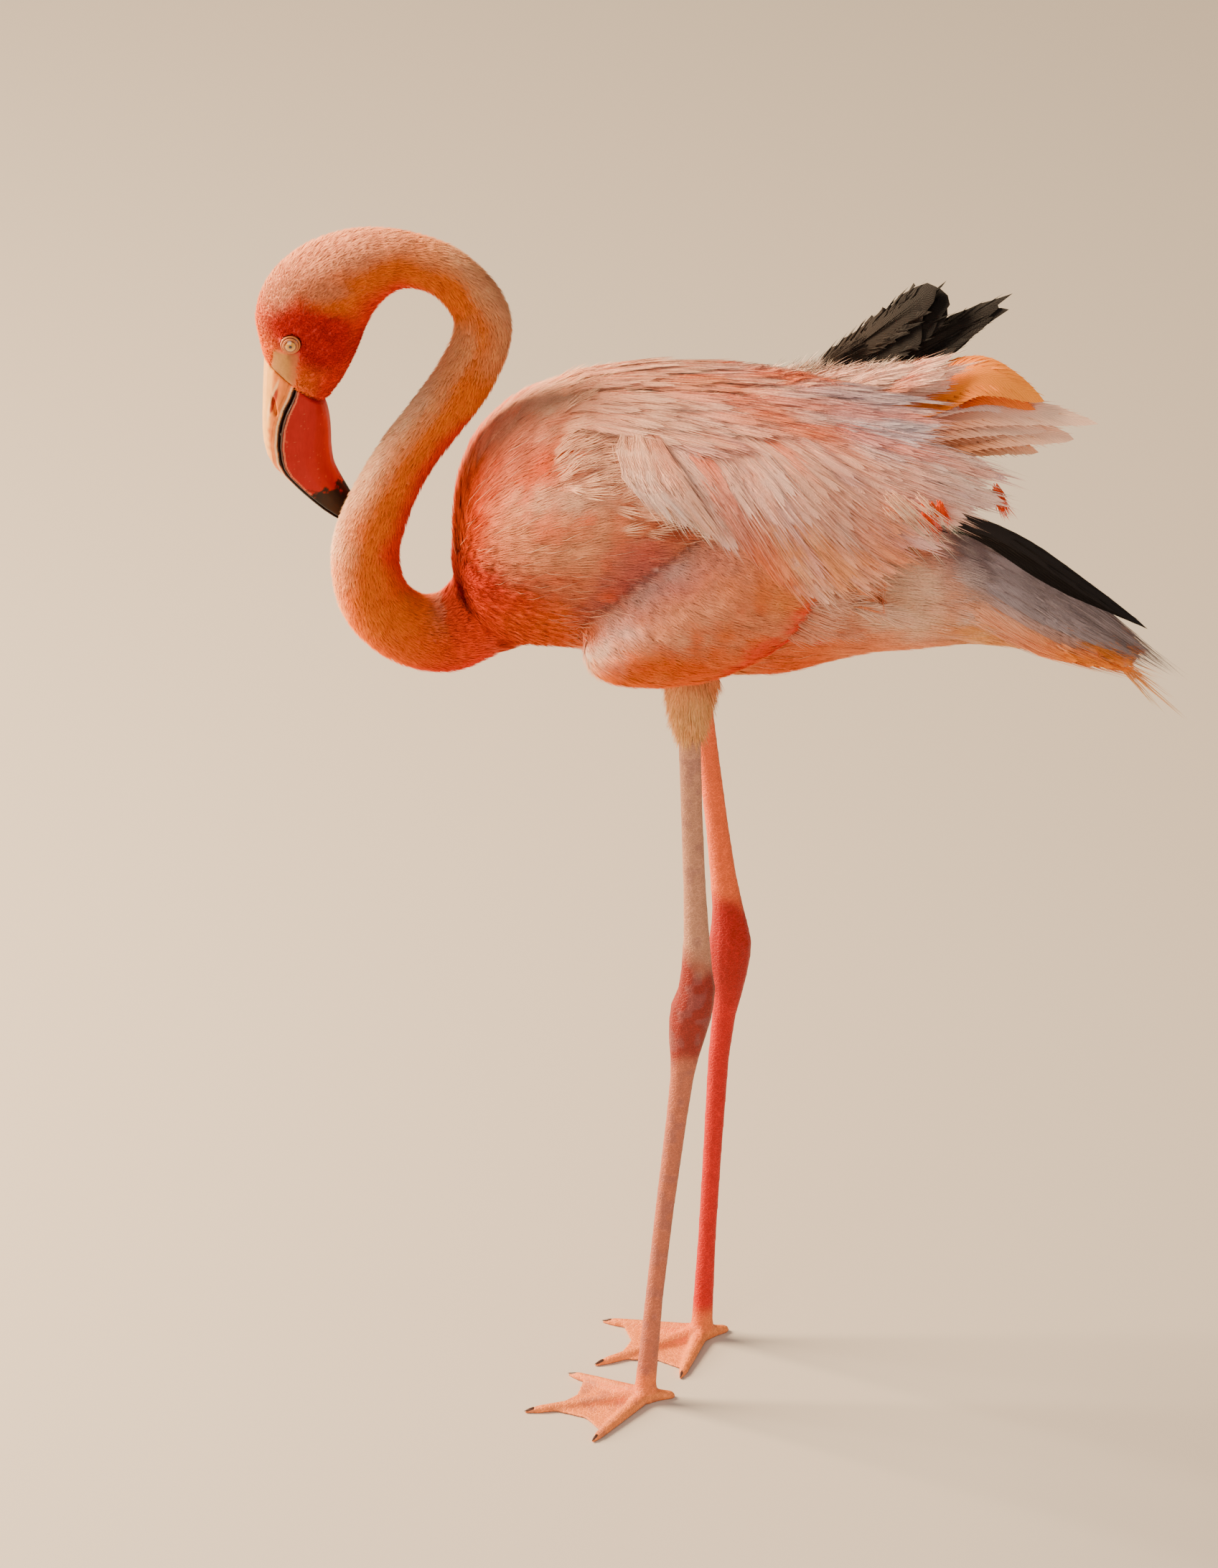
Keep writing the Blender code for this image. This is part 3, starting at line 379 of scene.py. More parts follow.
def bodyTint(points, x, y, z, patch, fine, weights):
    rows = view["perMetre"] * math.cos(view["angle"])
    across = view["column"] + view["perMetre"] * x + 26 * (patch - 0.5)
    nearer = np.abs(y) * math.tan(view["angle"])
    down = view["floorRow"] - rows * (z - nearer) + 30 * (softNoise(points, 0.017, 9) - 0.5)
    total = np.zeros((len(points), 3))
    for region, marks in patches.items():
        tint = linearColour(baseTints[region])
        for column, row, halfAcross, halfDown, tilt, colour, strength in marks:
            a = math.radians(tilt)
            du, dv = across - column, down - row
            reach = np.hypot((du * math.cos(a) + dv * math.sin(a)) / halfAcross,
                             (dv * math.cos(a) - du * math.sin(a)) / halfDown)
            tint = blendColours(tint, colour, strength * ramp(reach + 0.35 * (fine - 0.5), 1.35, 0.55))
        total += tint * weights[region][:, None]
    flecks, wingFlecks = softNoise(points, 0.011, 12), softNoise(points, 0.0075, 15)
    streak = softNoise(points * np.array((0.16, 1.0, 1.0)), 0.0034, 21)
    return blendColours(
        total,
        "#ee5216", 0.55 * (ramp(flecks, 0.60, 0.80) * ramp(x, 0.00, -0.06) * weights["body"]),
        "#ea5c18", 0.60 * ramp(wingFlecks, 0.58, 0.78) * ramp(overWrist(x, z), 0.0, -0.03) * weights["wing"],
        "#6e5c5c", 0.55 * ramp(streak, 0.58, 0.85) * weights["tail"] * ramp(z - 0.30 * x, 0.49, 0.53),
        "#f4dcd2", 0.60 * ramp(streak, 0.42, 0.15) * weights["tail"])


# orange, with a red face and a dusky cheek; paler, with a cream line down the neck, where it faces up and to
# the left, and redder where it faces down and away, partly the bird's own tones and partly painted light and
# shade
def neckTint(points, normals, x, z, patch):
    along = alongGuide(points)[0]
    bend = ramp(along, 0.13, 0.17) * ramp(along, 0.275, 0.235)
    # painted light: how much each point faces the upper left, where the light comes from; at the outer bend of
    # the neck the side facing back is painted lighter too
    lit = normals @ np.array((-0.62, 0.0, 0.70)) + 0.30 * (patch - 0.5)
    lit = lit + 1.45 * bend * np.maximum(normals @ np.array((0.90, 0.0, 0.20)), 0.0)
    pale = ramp(along, 0.09, 0.15) * ramp(along, 0.53, 0.46)
    crown = ramp(along, 0.15, 0.10) * ramp(along, 0.02, 0.06)
    cheek = np.hypot((x + 0.2700) / 0.017, (z - 0.8385) / 0.0085) + 0.5 * (patch - 0.5)
    face = np.hypot((x + 0.276 + 0.35 * (z - 0.803)) / 0.030, (z - 0.803) / 0.023) + 0.5 * (patch - 0.5)
    return blendColours(
        linearColour("#f2700c"),
        # the red on the side facing away is partly painted shade; the pale and cream on the side facing the
        # light and on the crown are partly painted light
        "#ee2602", 0.9 * ramp(lit, -0.15, -0.70),
        "#f4a26c", 0.75 * ramp(lit, 0.05, 0.50) * pale,
        "#ffc29a", 0.85 * ramp(lit, 0.45, 0.85) * pale * (1 - 0.7 * bend),
        "#f0a27a", 0.9 * ramp(lit, 0.00, 0.50) * crown,
        "#e0885e", 0.8 * ramp(cheek, 1.3, 0.5),
        "#d41a00", 1.0 * ramp(face, 1.35, 0.65),
        "#e0320c", 0.85 * ramp(along, neckEnd - 0.13, neckEnd - 0.05))


def plumageTint(points, normals, weights):
    x, y, z = (points - shift).T
    patch, fine = softNoise(points, 0.020, 3), softNoise(points, 0.0055, 5)
    body = bodyTint(points, x, y, z, patch, fine, weights)
    tint = body + neckTint(points, normals, x, z, patch) * weights["neck"][:, None]
    return tint * (0.88 + 0.24 * fine)[:, None]


# skin: one surface under all the feathers, inside the solids by the coat's depth

skinLook = {"voxel": 0.0027, "smoothing": 10, "neckDepth": 0.0018, "bodyDepth": 0.0045,
            "mostOfThickness": 0.30, "fewestPoints": 3000}
fleshNodes = ["torso", "neck_base", "neck_lower", "neck_middle", "neck_upper", "head", "leg_left_thigh",
              "leg_right_thigh", "wing_left", "wing_right", "tail"]
skin = joinedCopy(fleshNodes, "plumageSkin")
applyModifier(skin, "REMESH", mode="VOXEL", voxel_size=skinLook["voxel"])
skin = dropScraps(skin, skinLook["fewestPoints"])
applyModifier(skin, "SMOOTH", factor=0.5, iterations=skinLook["smoothing"])
skinPoints, skinNormals = readVectors(skin.data, "co"), readVectors(skin.data, "normal")
skinTree = surfaceOf(skin)
thickness = np.full(len(skinPoints), 0.05)
for k, (point, normal) in enumerate(zip(skinPoints, skinNormals)):
    hit = skinTree.ray_cast(Vector(point - normal * 0.0004), Vector(-normal), 0.05)
    if hit[0] is not None:
        thickness[k] = hit[3]
inNeck = regionWeights(skinPoints)["neck"]
depth = skinLook["bodyDepth"] + (skinLook["neckDepth"] - skinLook["bodyDepth"]) * inNeck
depth = depth * ramp(np.linalg.norm(skinPoints - guideRows[0], axis=1), 0.018, 0.045)  # none at the bill
depth = np.minimum(depth, thickness * skinLook["mostOfThickness"])
skinPoints = skinPoints - skinNormals * depth[:, None]
for name in ("left", "right"):  # the thigh's down narrows to the bare leg
    low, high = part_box(f"leg_{name}_thigh")
    middle = np.array((low + high) / 2)
    inLeg = regionWeights(skinPoints)["thigh"] * ((skinPoints[:, 1] - shift[1] < 0) == (name == "left"))
    narrow = 0.30 * inLeg * ramp(skinPoints[:, 2], high.z - 0.004, low.z + 0.008)
    skinPoints[:, :2] += (middle[:2] - skinPoints[:, :2]) * narrow[:, None]
skin.data.vertices.foreach_set("co", skinPoints.astype(np.float32).ravel())
skin.data.update()
applyModifier(skin, "SMOOTH", factor=0.5, iterations=5)
skinPoints, skinNormals = readVectors(skin.data, "co"), readVectors(skin.data, "normal")
pickOnly(skin)
bpy.ops.object.shade_smooth()
skinTree = surfaceOf(skin)
print("skin made, with", len(skinPoints), "points")

# bare skin: the pale lore between the eye and the bill, and the ring round the eye
eyeSpots = [np.array((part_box(node)[0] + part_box(node)[1]) / 2) for node in ("eye_left", "eye_right")]
bareLook = {"front": -0.0115, "back": 0.0048, "top": 0.7935, "ring": 0.0076}


def bareFace(points):
    local = points - shift
    toEye = np.hypot(points[:, 0] - eyeSpots[0][0], points[:, 2] - eyeSpots[0][2])
    across = local[:, 0] + 0.2922 - 0.10 * (local[:, 2] - 0.778)
    lore = ramp(across, bareLook["front"] - 0.0012, bareLook["front"])
    lore = lore * ramp(across, bareLook["back"] + 0.0012, bareLook["back"])
    lore = lore * ramp(local[:, 2], bareLook["top"], bareLook["top"] - 0.0030)
    return np.clip(lore, 0, 1), ramp(toEye, bareLook["ring"], 0.0064)


skinWeights = regionWeights(skinPoints)
lore, ring = bareFace(skinPoints)
loreGrain = softNoise(skinPoints * np.array((1.0, 1.0, 0.5)), 0.0042, 33)
paintPoints(skin.data, blendColours(
    plumageTint(skinPoints, skinNormals, skinWeights) * 0.92,
    "#a87026", lore * skinWeights["neck"] * ramp(skinPoints[:, 2] - shift[2], 0.735, 0.745),
    "#7c4410", lore * 0.6 * ramp(loreGrain, 0.40, 0.70),
    "#c4541c", lore * 0.7 * ramp(skinPoints[:, 0] - shift[0] + 0.2922, -0.0020, 0.0044),
    "#d2601c", ring * skinWeights["neck"]))

# skin under down is matt, and its pores, drawn 2 mm wide so that they show, break the colour up
skinMaterial, tree, shader = newMaterial("feathered skin under down", {"Roughness": 0.70})
place = addNode(tree, "TexCoord").outputs["Object"]
pores = addNode(tree, "TexNoise", {"Vector": place, "Scale": 520.0, "Detail": 3.0})
shade = addNode(tree, "MapRange", {"Value": pores, "To Min": 0.66, "To Max": 1.18})
shadeAndLift(tree, shader, shade, pores, 0.4, 0.0006)
finishPiece(skin, skinMaterial, "plumage", *fleshNodes)

# a coarse copy of the skin is unwrapped, and every feather takes its baking patch from it
chart = bpy.data.objects.new("chart", skin.data.copy())
bpy.context.scene.collection.objects.link(chart)
applyModifier(chart, "REMESH", mode="VOXEL", voxel_size=0.006)
bpy.ops.object.mode_set(mode="EDIT")
bpy.ops.mesh.select_all(action="SELECT")
bpy.ops.uv.smart_project(angle_limit=math.radians(66), island_margin=0.004)
bpy.ops.object.mode_set(mode="OBJECT")
chartUv = np.empty(len(chart.data.loops) * 2, np.float32)
chart.data.uv_layers.active.data.foreach_get("uv", chartUv)
chartUv = chartUv.reshape(-1, 2)
chartFaces = [(face.loop_start, face.loop_start + face.loop_total) for face in chart.data.polygons]
chartPoints = readVectors(chart.data, "co")
chartCorners = np.empty(len(chart.data.loops), np.int32)
chart.data.loops.foreach_get("vertex_index", chartCorners)
chartTree = surfaceOf(chart)
bpy.data.objects.remove(chart)


# where these points lie on the unwrap of the skin
def chartPlace(points):
    found = np.zeros((len(points), 2), np.float32)
    for k, point in enumerate(points):
        loops = np.arange(*chartFaces[chartTree.find_nearest(Vector(point))[2]])
        weight = 1.0 / (np.linalg.norm(chartPoints[chartCorners[loops]] - point, axis=1) + 1e-5) ** 2
        found[k] = (chartUv[loops] * weight[:, None]).sum(0) / weight.sum()
    return found


def onSkin(points):
    spots, normals = np.empty((len(points), 3)), np.empty((len(points), 3))
    for k, point in enumerate(points):
        spots[k], normals[k] = skinTree.find_nearest(Vector(point))[:2]
    return spots, normals


print("skin painted and unwrapped")


# feather materials: keratin barbs, drawn as fine lines at their angle to the shaft
# real barbs lie about 0.4 mm apart; they are drawn 1 mm apart so that they show

def featherMaterial(name, roughness, specular, spacing, angle, contrast):
    material, tree, shader = newMaterial(name, {"Roughness": roughness, "Specular IOR Level": specular})
    vane = addNode(tree, "UVMap", uv_map="vane")
    parts = addNode(tree, "SeparateXYZ", {0: vane})
    side = addNode(tree, "Math", {0: parts}, operation="ABSOLUTE")
    turns, a = 2 * math.pi / spacing, math.radians(angle)
    outward = addNode(tree, "Math", {0: side, 1: turns * math.cos(a)}, operation="MULTIPLY")
    phase = addNode(tree, "Math", {0: parts.outputs[1], 1: -turns * math.sin(a), 2: outward},
                    operation="MULTIPLY_ADD")
    place = addNode(tree, "TexCoord").outputs["Object"]
    waver = addNode(tree, "TexNoise", {"Vector": place, "Scale": 240.0, "Detail": 2.0})
    drift = addNode(tree, "Math", {0: waver, 1: 9.0, 2: phase}, operation="MULTIPLY_ADD")
    line = addNode(tree, "Math", {0: drift}, operation="SINE")
    shade = addNode(tree, "MapRange", {"Value": line, "From Min": -1.0, "From Max": 1.0,
                                       "To Min": 1.0 - contrast, "To Max": 1.0 + contrast * 0.5})
    shadeAndLift(tree, shader, shade, line, 0.25, 0.0003)
    return material


downMaterial = featherMaterial("soft down feather", 0.75, 0.12, 0.0011, 22, 0.12)  # matt, clearly hatched
vaneMaterial = featherMaterial("silky back feather", 0.60, 0.2, 0.0013, 24, 0.10)  # smoother, a faint sheen
blackMaterial = featherMaterial("black flight feather", 0.58, 0.12, 0.0010, 30, 0.05)  # close and even


# feather shapes: small closed blades, whose corners are share of the length, share of the half width, height

def newShape():
    return {"corners": [], "shades": [], "faces": []}


def addSpike(shape, start, end, half, shade=1.0):
    (t, s), a = start, len(shape["corners"])
    shape["corners"] += [(t, s - half, 0.0), (t, s + half, 0.0), (t, s, 1.0), (*end, 0.6)]
    shape["shades"] += [shade * 0.92] * 3 + [shade * 1.08]
    shape["faces"] += [(a, a + 3, a + 1), (a, a + 2, a + 3), (a + 2, a + 1, a + 3), (a, a + 1, a + 2)]


# a hair of two lengths, bent on its way
def addBarb(shape, start, bend, end, half, height=1.0, shade=1.0):
    a = len(shape["corners"])
    for (t, s), wide in ((start, half), (bend, half * 0.8)):
        shape["corners"] += [(t, s - wide, height * 0.4), (t, s + wide, height * 0.4), (t, s, height)]
    shape["corners"].append((*end, height * 0.9))
    shape["shades"] += [shade * 0.92] * 3 + [shade] * 3 + [shade * 1.10]
    shape["faces"].append((a, a + 1, a + 2))
    b, tip = a + 3, a + 6
    for i, j in ((0, 1), (1, 2), (2, 0)):
        shape["faces"] += [(a + i, b + i, b + j), (a + i, b + j, a + j), (b + i, tip, b + j)]


# a closed vane with a raised middle: stations are share of the length and of the half width
def addLeaf(shape, stations):
    first, last = len(shape["corners"]), len(stations) - 2
    for t, s in stations[:-1]:
        shape["corners"] += [(t, -s, 0.0), (t, 0.0, 1 - 0.6 * t), (t, s, 0.0)]
        shape["shades"] += [1.0, 0.96, 1.0]
    shape["corners"].append((stations[-1][0], 0.0, 0.2))
    shape["shades"].append(1.0)
    for k in range(last):
        a, b = first + 3 * k, first + 3 * k + 3
        for i, j in ((0, 1), (1, 2), (2, 0)):
            shape["faces"] += [(a + i, a + j, b + j), (a + i, b + j, b + i)]
    a, tip = first + 3 * last, first + 3 * last + 3
    shape["faces"] += [(a, a + 1, tip), (a + 1, a + 2, tip), (a + 2, a, tip), (first, first + 2, first + 1)]


# a few spikes side by side, for tufts and hairs
def tuftShape(count, half, seed):
    draw, shape = random.Random(seed), newShape()
    for k in range(count):
        share = 2 * (k + 0.5) / count - 1
        start = (draw.uniform(0.0, 0.18), share * 0.45)
        end = (draw.uniform(0.80, 1.05), share * 0.95 + draw.uniform(-0.15, 0.15))
        addSpike(shape, start, end, half, draw.uniform(0.92, 1.08))
    return shape


# a fan of fine barbs with a rounded end
def fanShape(count, half, seed, rounding=0.30):
    draw, shape = random.Random(seed), newShape()
    for k in range(count):
        share = 2 * (k + 0.5) / count - 1
        start = (draw.uniform(0.0, 0.15), share * 0.30)
        end = (1.0 - rounding * share**2 + draw.uniform(-0.06, 0.06), share + draw.uniform(-0.10, 0.10))
        addSpike(shape, start, end, half, draw.uniform(0.93, 1.07))
    return shape


# a long leaf with loose barbs at its sides and three stray ones over it
def plumeShape(barbs, seed, leaf=0.66):
    draw, shape = random.Random(seed), newShape()
    stations = ((0.0, 0.2), (0.15, 0.55), (0.35, 0.9), (0.55, 1.0), (0.72, 0.8), (0.86, 0.45), (0.95, 0.0))
    addLeaf(shape, [(t, s * leaf) for t, s in stations])
    for k in range(2 * barbs):
        side, level = (-1 if k % 2 else 1), (k + 0.5) / (2 * barbs)
        t = 0.06 + 0.64 * level
        out = (1.06 - 0.80 * level**2) * draw.uniform(0.42, 1.08)
        reach = 0.34 + 0.14 * draw.random()
        start, bend = (t, side * 0.25 * out), (t + reach * 0.5, side * out * 0.78)
        addBarb(shape, start, bend, (t + reach, side * out), 0.032, 0.9, draw.uniform(0.92, 1.09))
    for k in range(3):
        bow = draw.uniform(-0.9, 0.9)
        end = (draw.uniform(1.06, 1.24), bow * 0.7)
        addBarb(shape, (0.10, bow * 0.1), (0.55, bow), end, 0.020, 2.0, 1.08)
    return shape


# a stiff vane with a shaft, barbs along both edges and worn edges; it narrows beyond the taper
def vaneShape(seed, ragged, barbs=14, taper=0.60):
    draw, shape = random.Random(seed), newShape()

    def reach(t):
        narrowing = 1.0 if t < taper else max(1 - ((t - taper) / (1.01 - taper)) ** 2, 0.0)
        return min(1.0, 0.40 + 1.8 * t) * narrowing

    worn = [(k / 20, max(reach(k / 20) * (1 - ragged * draw.random()), 0.04)) for k in range(1, 20)]
    addLeaf(shape, [(0.0, 0.35)] + worn + [(0.99, 0.0)])
    addBarb(shape, (0.0, 0.0), (0.5, 0.0), (0.97, 0.0), 0.040, 1.8, 0.85)
    for k in range(barbs):
        side, t = (-1 if k % 2 else 1), 0.20 + 0.76 * (k + draw.random()) / barbs
        edge = side * reach(t)
        start, bend = (t - 0.10, edge * 0.62), (t - 0.03, edge * 0.90)
        end = (t + 0.03, edge * (1.02 + ragged * 0.6))
        addBarb(shape, start, bend, end, 0.040, 0.8, draw.uniform(0.93, 1.06))
    return shape


# weights of a path's points for a smooth line through them, and for its direction
def pathWeights(shares, count):
    place, lead = np.zeros((len(shares), count)), np.zeros((len(shares), count))
    for row, share in enumerate(shares):
        at = share * (count - 1)
        k = int(min(max(math.floor(at), 0), count - 2))
        f = at - k
        basis = (0.5 * (-f + 2 * f**2 - f**3), 0.5 * (2 - 5 * f**2 + 3 * f**3),
                 0.5 * (f + 4 * f**2 - 3 * f**3), 0.5 * (f**3 - f**2))
        slope = (0.5 * (-1 + 4 * f - 3 * f**2), 0.5 * (9 * f**2 - 10 * f),
                 0.5 * (1 + 8 * f - 9 * f**2), 0.5 * (3 * f**2 - 2 * f))
        for weights, values in ((place, basis), (lead, slope)):
            for step, value in zip((-1, 0, 1, 2), values):
                index = k + step
                if index < 0:  # the path runs straight on past its first and last points
                    weights[row, 0] += 2 * value
                    weights[row, 1] -= value
                elif index >= count:
                    weights[row, count - 1] += 2 * value
                    weights[row, count - 2] -= value
                else:
                    weights[row, index] += value
    return place, lead


# one joined mesh of feathers, each along its own path of a few points with the normals there
def buildFeathers(name, shape, paths, normals, rootTints, tipTints, width, thick=0.0004, cup=0.10,
                  jitter=0.05, material=downMaterial, slot="plumage", replaced=()):
    corners, faces = np.array(shape["corners"], float), np.array(shape["faces"], int)
    t, s, h = corners.T
    count, size = len(paths), len(corners)
    place, lead = pathWeights(t, paths.shape[1])
    inside = pathWeights(np.clip(t, 0, 1), paths.shape[1])[0]
    line = np.einsum("nk,fkc->fnc", place, paths)
    ahead = unit(np.einsum("nk,fkc->fnc", lead, paths))
    up = unit(np.einsum("nk,fkc->fnc", inside, normals))
    across = unit(np.cross(ahead, up))
    up = np.cross(across, ahead)
    length = np.linalg.norm(np.diff(paths, axis=1), axis=2).sum(1)
    width = np.broadcast_to(np.asarray(width, float), count)
    spread = jitter * rng.standard_normal((count, size)) * np.where(t > 0.5, 1.0, 0.3)[None]
    side = (s[None] + spread) * width[:, None]
    rise = h[None] * thick - cup * (s**2)[None] * width[:, None]
    run = 0.5 * jitter * rng.standard_normal((count, size)) * length[:, None] * (t > 0.6)[None]
    points = line + across * side[..., None] + up * rise[..., None] + ahead * run[..., None]

    mesh = bpy.data.meshes.new(name)
    allFaces = (faces[None] + (np.arange(count) * size)[:, None, None]).reshape(-1, 3)
    mesh.vertices.add(count * size)
    mesh.vertices.foreach_set("co", points.astype(np.float32).ravel())
    mesh.loops.add(len(allFaces) * 3)
    mesh.loops.foreach_set("vertex_index", allFaces.astype(np.int32).ravel())
    mesh.polygons.add(len(allFaces))
    mesh.polygons.foreach_set("loop_start", np.arange(0, len(allFaces) * 3, 3, dtype=np.int32))
    mesh.update(calc_edges=True)

    patch = 0.003 * np.stack([np.clip(s, -1, 1) * 0.5, np.clip(t, 0, 1) - 0.5], 1)[None]
    bake = np.clip(chartPlace(paths[:, 0])[:, None] + patch, 0.0, 1.0)
    vane = np.stack([s[None] * width[:, None], t[None] * length[:, None]], -1)
    for label, places in (("OFBake", bake), ("vane", vane)):
        layer = mesh.uv_layers.new(name=label)
        layer.data.foreach_set("uv", places.reshape(-1, 2)[allFaces.ravel()].astype(np.float32).ravel())

    share = ramp(t, 0.20, 0.95)[None, :, None]
    tint = rootTints[:, None] * (1 - share) + tipTints[:, None] * share
    paintPoints(mesh, (tint * np.array(shape["shades"])[None, :, None]).reshape(-1, 3))
    obj = bpy.data.objects.new(name, mesh)
    bpy.context.scene.collection.objects.link(obj)
    pickOnly(obj)
    bpy.ops.object.shade_smooth_by_angle(angle=math.radians(125))
    finishPiece(obj, material, slot, *replaced)
    print(name, count, "feathers,", len(allFaces), "triangles")


# scattering: places on the skin about this far apart, with no two closer than that

skin.data.calc_loop_triangles()
skinCorners = np.empty(len(skin.data.loop_triangles) * 3, np.int32)
skin.data.loop_triangles.foreach_get("vertices", skinCorners)
skinCorners = skinCorners.reshape(-1, 3)
triA, triB, triC = (skinPoints[skinCorners[:, k]] for k in range(3))
triArea = np.linalg.norm(np.cross(triB - triA, triC - triA), axis=1) / 2
triMiddle = (triA + triB + triC) / 3
triRegion, triAlong = regionWeights(triMiddle), alongGuide(triMiddle)[0]
triX, triSide = triMiddle[:, 0] - shift[0], triMiddle[:, 1] - shift[1]
nearCells = [(a, b, c) for a in (-1, 0, 1) for b in (-1, 0, 1) for c in (-1, 0, 1)]


def scatter(chosen, spacing):
    index = np.flatnonzero(chosen)
    gap = np.broadcast_to(spacing, len(chosen))[index]
    weight = triArea[index] / gap**2
    count = int(weight.sum() * 3.0)
    pick = rng.choice(len(index), count, p=weight / weight.sum())
    u, v = rng.random(count), rng.random(count)
    over = u + v > 1
    u[over], v[over] = 1 - u[over], 1 - v[over]
    face = index[pick]
    points = triA[face] + (triB - triA)[face] * u[:, None] + (triC - triA)[face] * v[:, None]
    apart = (gap[pick] * 0.74) ** 2
    cells = np.floor(points / math.sqrt(apart.max())).astype(int)
    grid, kept = {}, []
    for k, (cell, point, limit) in enumerate(zip(cells.tolist(), points.tolist(), apart.tolist())):
        near = (p for a, b, c in nearCells for p in grid.get((cell[0] + a, cell[1] + b, cell[2] + c), ()))
        if all((p[0] - point[0])**2 + (p[1] - point[1])**2 + (p[2] - point[2])**2 >= limit for p in near):
            kept.append(k)
            grid.setdefault(tuple(cell), []).append(point)
    corners, u, v, points = skinCorners[face[kept]], u[kept], v[kept], points[kept]
    shares = (1 - u - v, u, v)
    normals = sum(skinNormals[corners[:, k]] * shares[k][:, None] for k in range(3))
    return points, unit(normals), regionWeights(points)


# each feather's line over the skin, with a little swing to either side
def layOnSkin(points, normals, weights, length, lift, tipLift, swing=0.12):
    flow = featherFlow(points, weights)
    flow = flow + np.cross(normals, flow) * (swing * rng.standard_normal(len(points)))[:, None]
    flow = unit(flow - normals * (flow * normals).sum(1, keepdims=True))
    length, lift, tipLift = (np.broadcast_to(part, len(points))[:, None] for part in (length, lift, tipLift))
    midSpot, midNormal = onSkin(points + flow * length * 0.5)
    ahead = unit(midSpot - points)
    ahead = unit(ahead - midNormal * (ahead * midNormal).sum(1, keepdims=True))
    tipSpot, tipNormal = onSkin(midSpot + ahead * length * 0.5)
    roots = points - normals * 0.0006
    paths = np.stack([roots, midSpot + midNormal * lift, tipSpot + tipNormal * tipLift], 1)
    return paths, np.stack([normals, midNormal, tipNormal], 1)


# the same way up for every point of these paths
def facing(paths, direction):
    return np.broadcast_to(unit(np.array(direction)), paths.shape)


# head and neck: short velvety tufts, smallest round the eye and the bill

velvetLook = {"faceGap": 0.0015, "headGap": 0.0018, "neckGap": 0.0021, "length": 0.0092, "lift": 0.0009,
              "tipLift": 0.0019}
velvetParts = {"headPlumage": (-1.0, 0.135), "neckPlumageUpper": (0.135, 0.300),
               "neckPlumageMiddle": (0.300, 0.430), "neckPlumageLower": (0.430, 9.0)}
triBare = np.clip(sum(bareFace(triMiddle)), 0, 1) * (triAlong < 0.09)
spacing = velvetLook["neckGap"] + (velvetLook["headGap"] - velvetLook["neckGap"]) * ramp(triAlong, 0.17, 0.12)
spacing = spacing + (velvetLook["faceGap"] - spacing) * ramp(triAlong, 0.085, 0.045)
for name, (low, high) in velvetParts.items():
    chosen = (triRegion["neck"] > 0.5) & (triAlong >= low) & (triAlong < high) & (triBare < 0.5)
    points, normals, weights = scatter(chosen, spacing)
    along, count = alongGuide(points)[0], len(points)
    face = ramp(along, 0.085, 0.045)
    length = velvetLook["length"] - 0.0024 * ramp(along, 0.17, 0.10) - 0.0022 * face
    length = (length + 0.0040 * ramp(along, 0.48, 0.60)) * rng.uniform(0.85, 1.15, count)
    tipLift = (velvetLook["tipLift"] - 0.0007 * face) * rng.uniform(0.8, 1.6, count)
    paths, bends = layOnSkin(points, normals, weights, length, velvetLook["lift"], tipLift)
    tints = plumageTint(points, normals, weights) * rng.uniform(0.88, 1.12, (count, 1))
    buildFeathers(name, tuftShape(4, 0.21, 3), paths, bends, tints * 0.92, tints * 1.10, length * 0.26,
                  thick=0.00035, cup=0.05, jitter=0.10)


# body: soft contour feathers, each a rounded fan; small and close on the wing's front edge, like scales

contourLook = {"bodyGap": 0.0037, "breastGap": 0.0030, "wingGap": 0.0032, "scaleGap": 0.0023,
               "tailGap": 0.0038, "thighGap": 0.0026, "lift": 0.0020}
contourSwing = {"body": 0.12, "wing": 0.12, "tail": 0.05, "thigh": 0.30}
triWrist = ramp(overWrist(triMiddle[:, 0], triMiddle[:, 2]), -0.002, 0.018)
shares = [triRegion[region] * (1 + 1.3 * triWrist * (region == "wing")) for region in regionTrees]
isRegion = {region: np.argmax(shares, axis=0) == k for k, region in enumerate(regionTrees)}
triBreast = fromBreast(triX, triMiddle[:, 2])
away = ramp(triBreast, 0.04, 0.13)
bodyGap = contourLook["breastGap"] + (contourLook["bodyGap"] - contourLook["breastGap"]) * away
wingGap = contourLook["wingGap"] + (contourLook["scaleGap"] - contourLook["wingGap"]) * triWrist
contourParts = {
    "bodyPlumageLeft": (isRegion["body"] & (triSide <= 0), bodyGap, 0.20),
    "bodyPlumageRight": (isRegion["body"] & (triSide > 0), bodyGap, 0.20),
    "tailPlumage": (isRegion["tail"] & (triMiddle[:, 0] < shift[0] + 0.262), contourLook["tailGap"], 0.13),
    "wingCovertsLeft": (isRegion["wing"] & (triSide < 0), wingGap, 0.24),
    "wingCovertsRight": (isRegion["wing"] & (triSide > 0), wingGap, 0.24),
    "thighDown": (isRegion["thigh"], contourLook["thighGap"], 0.26),
}
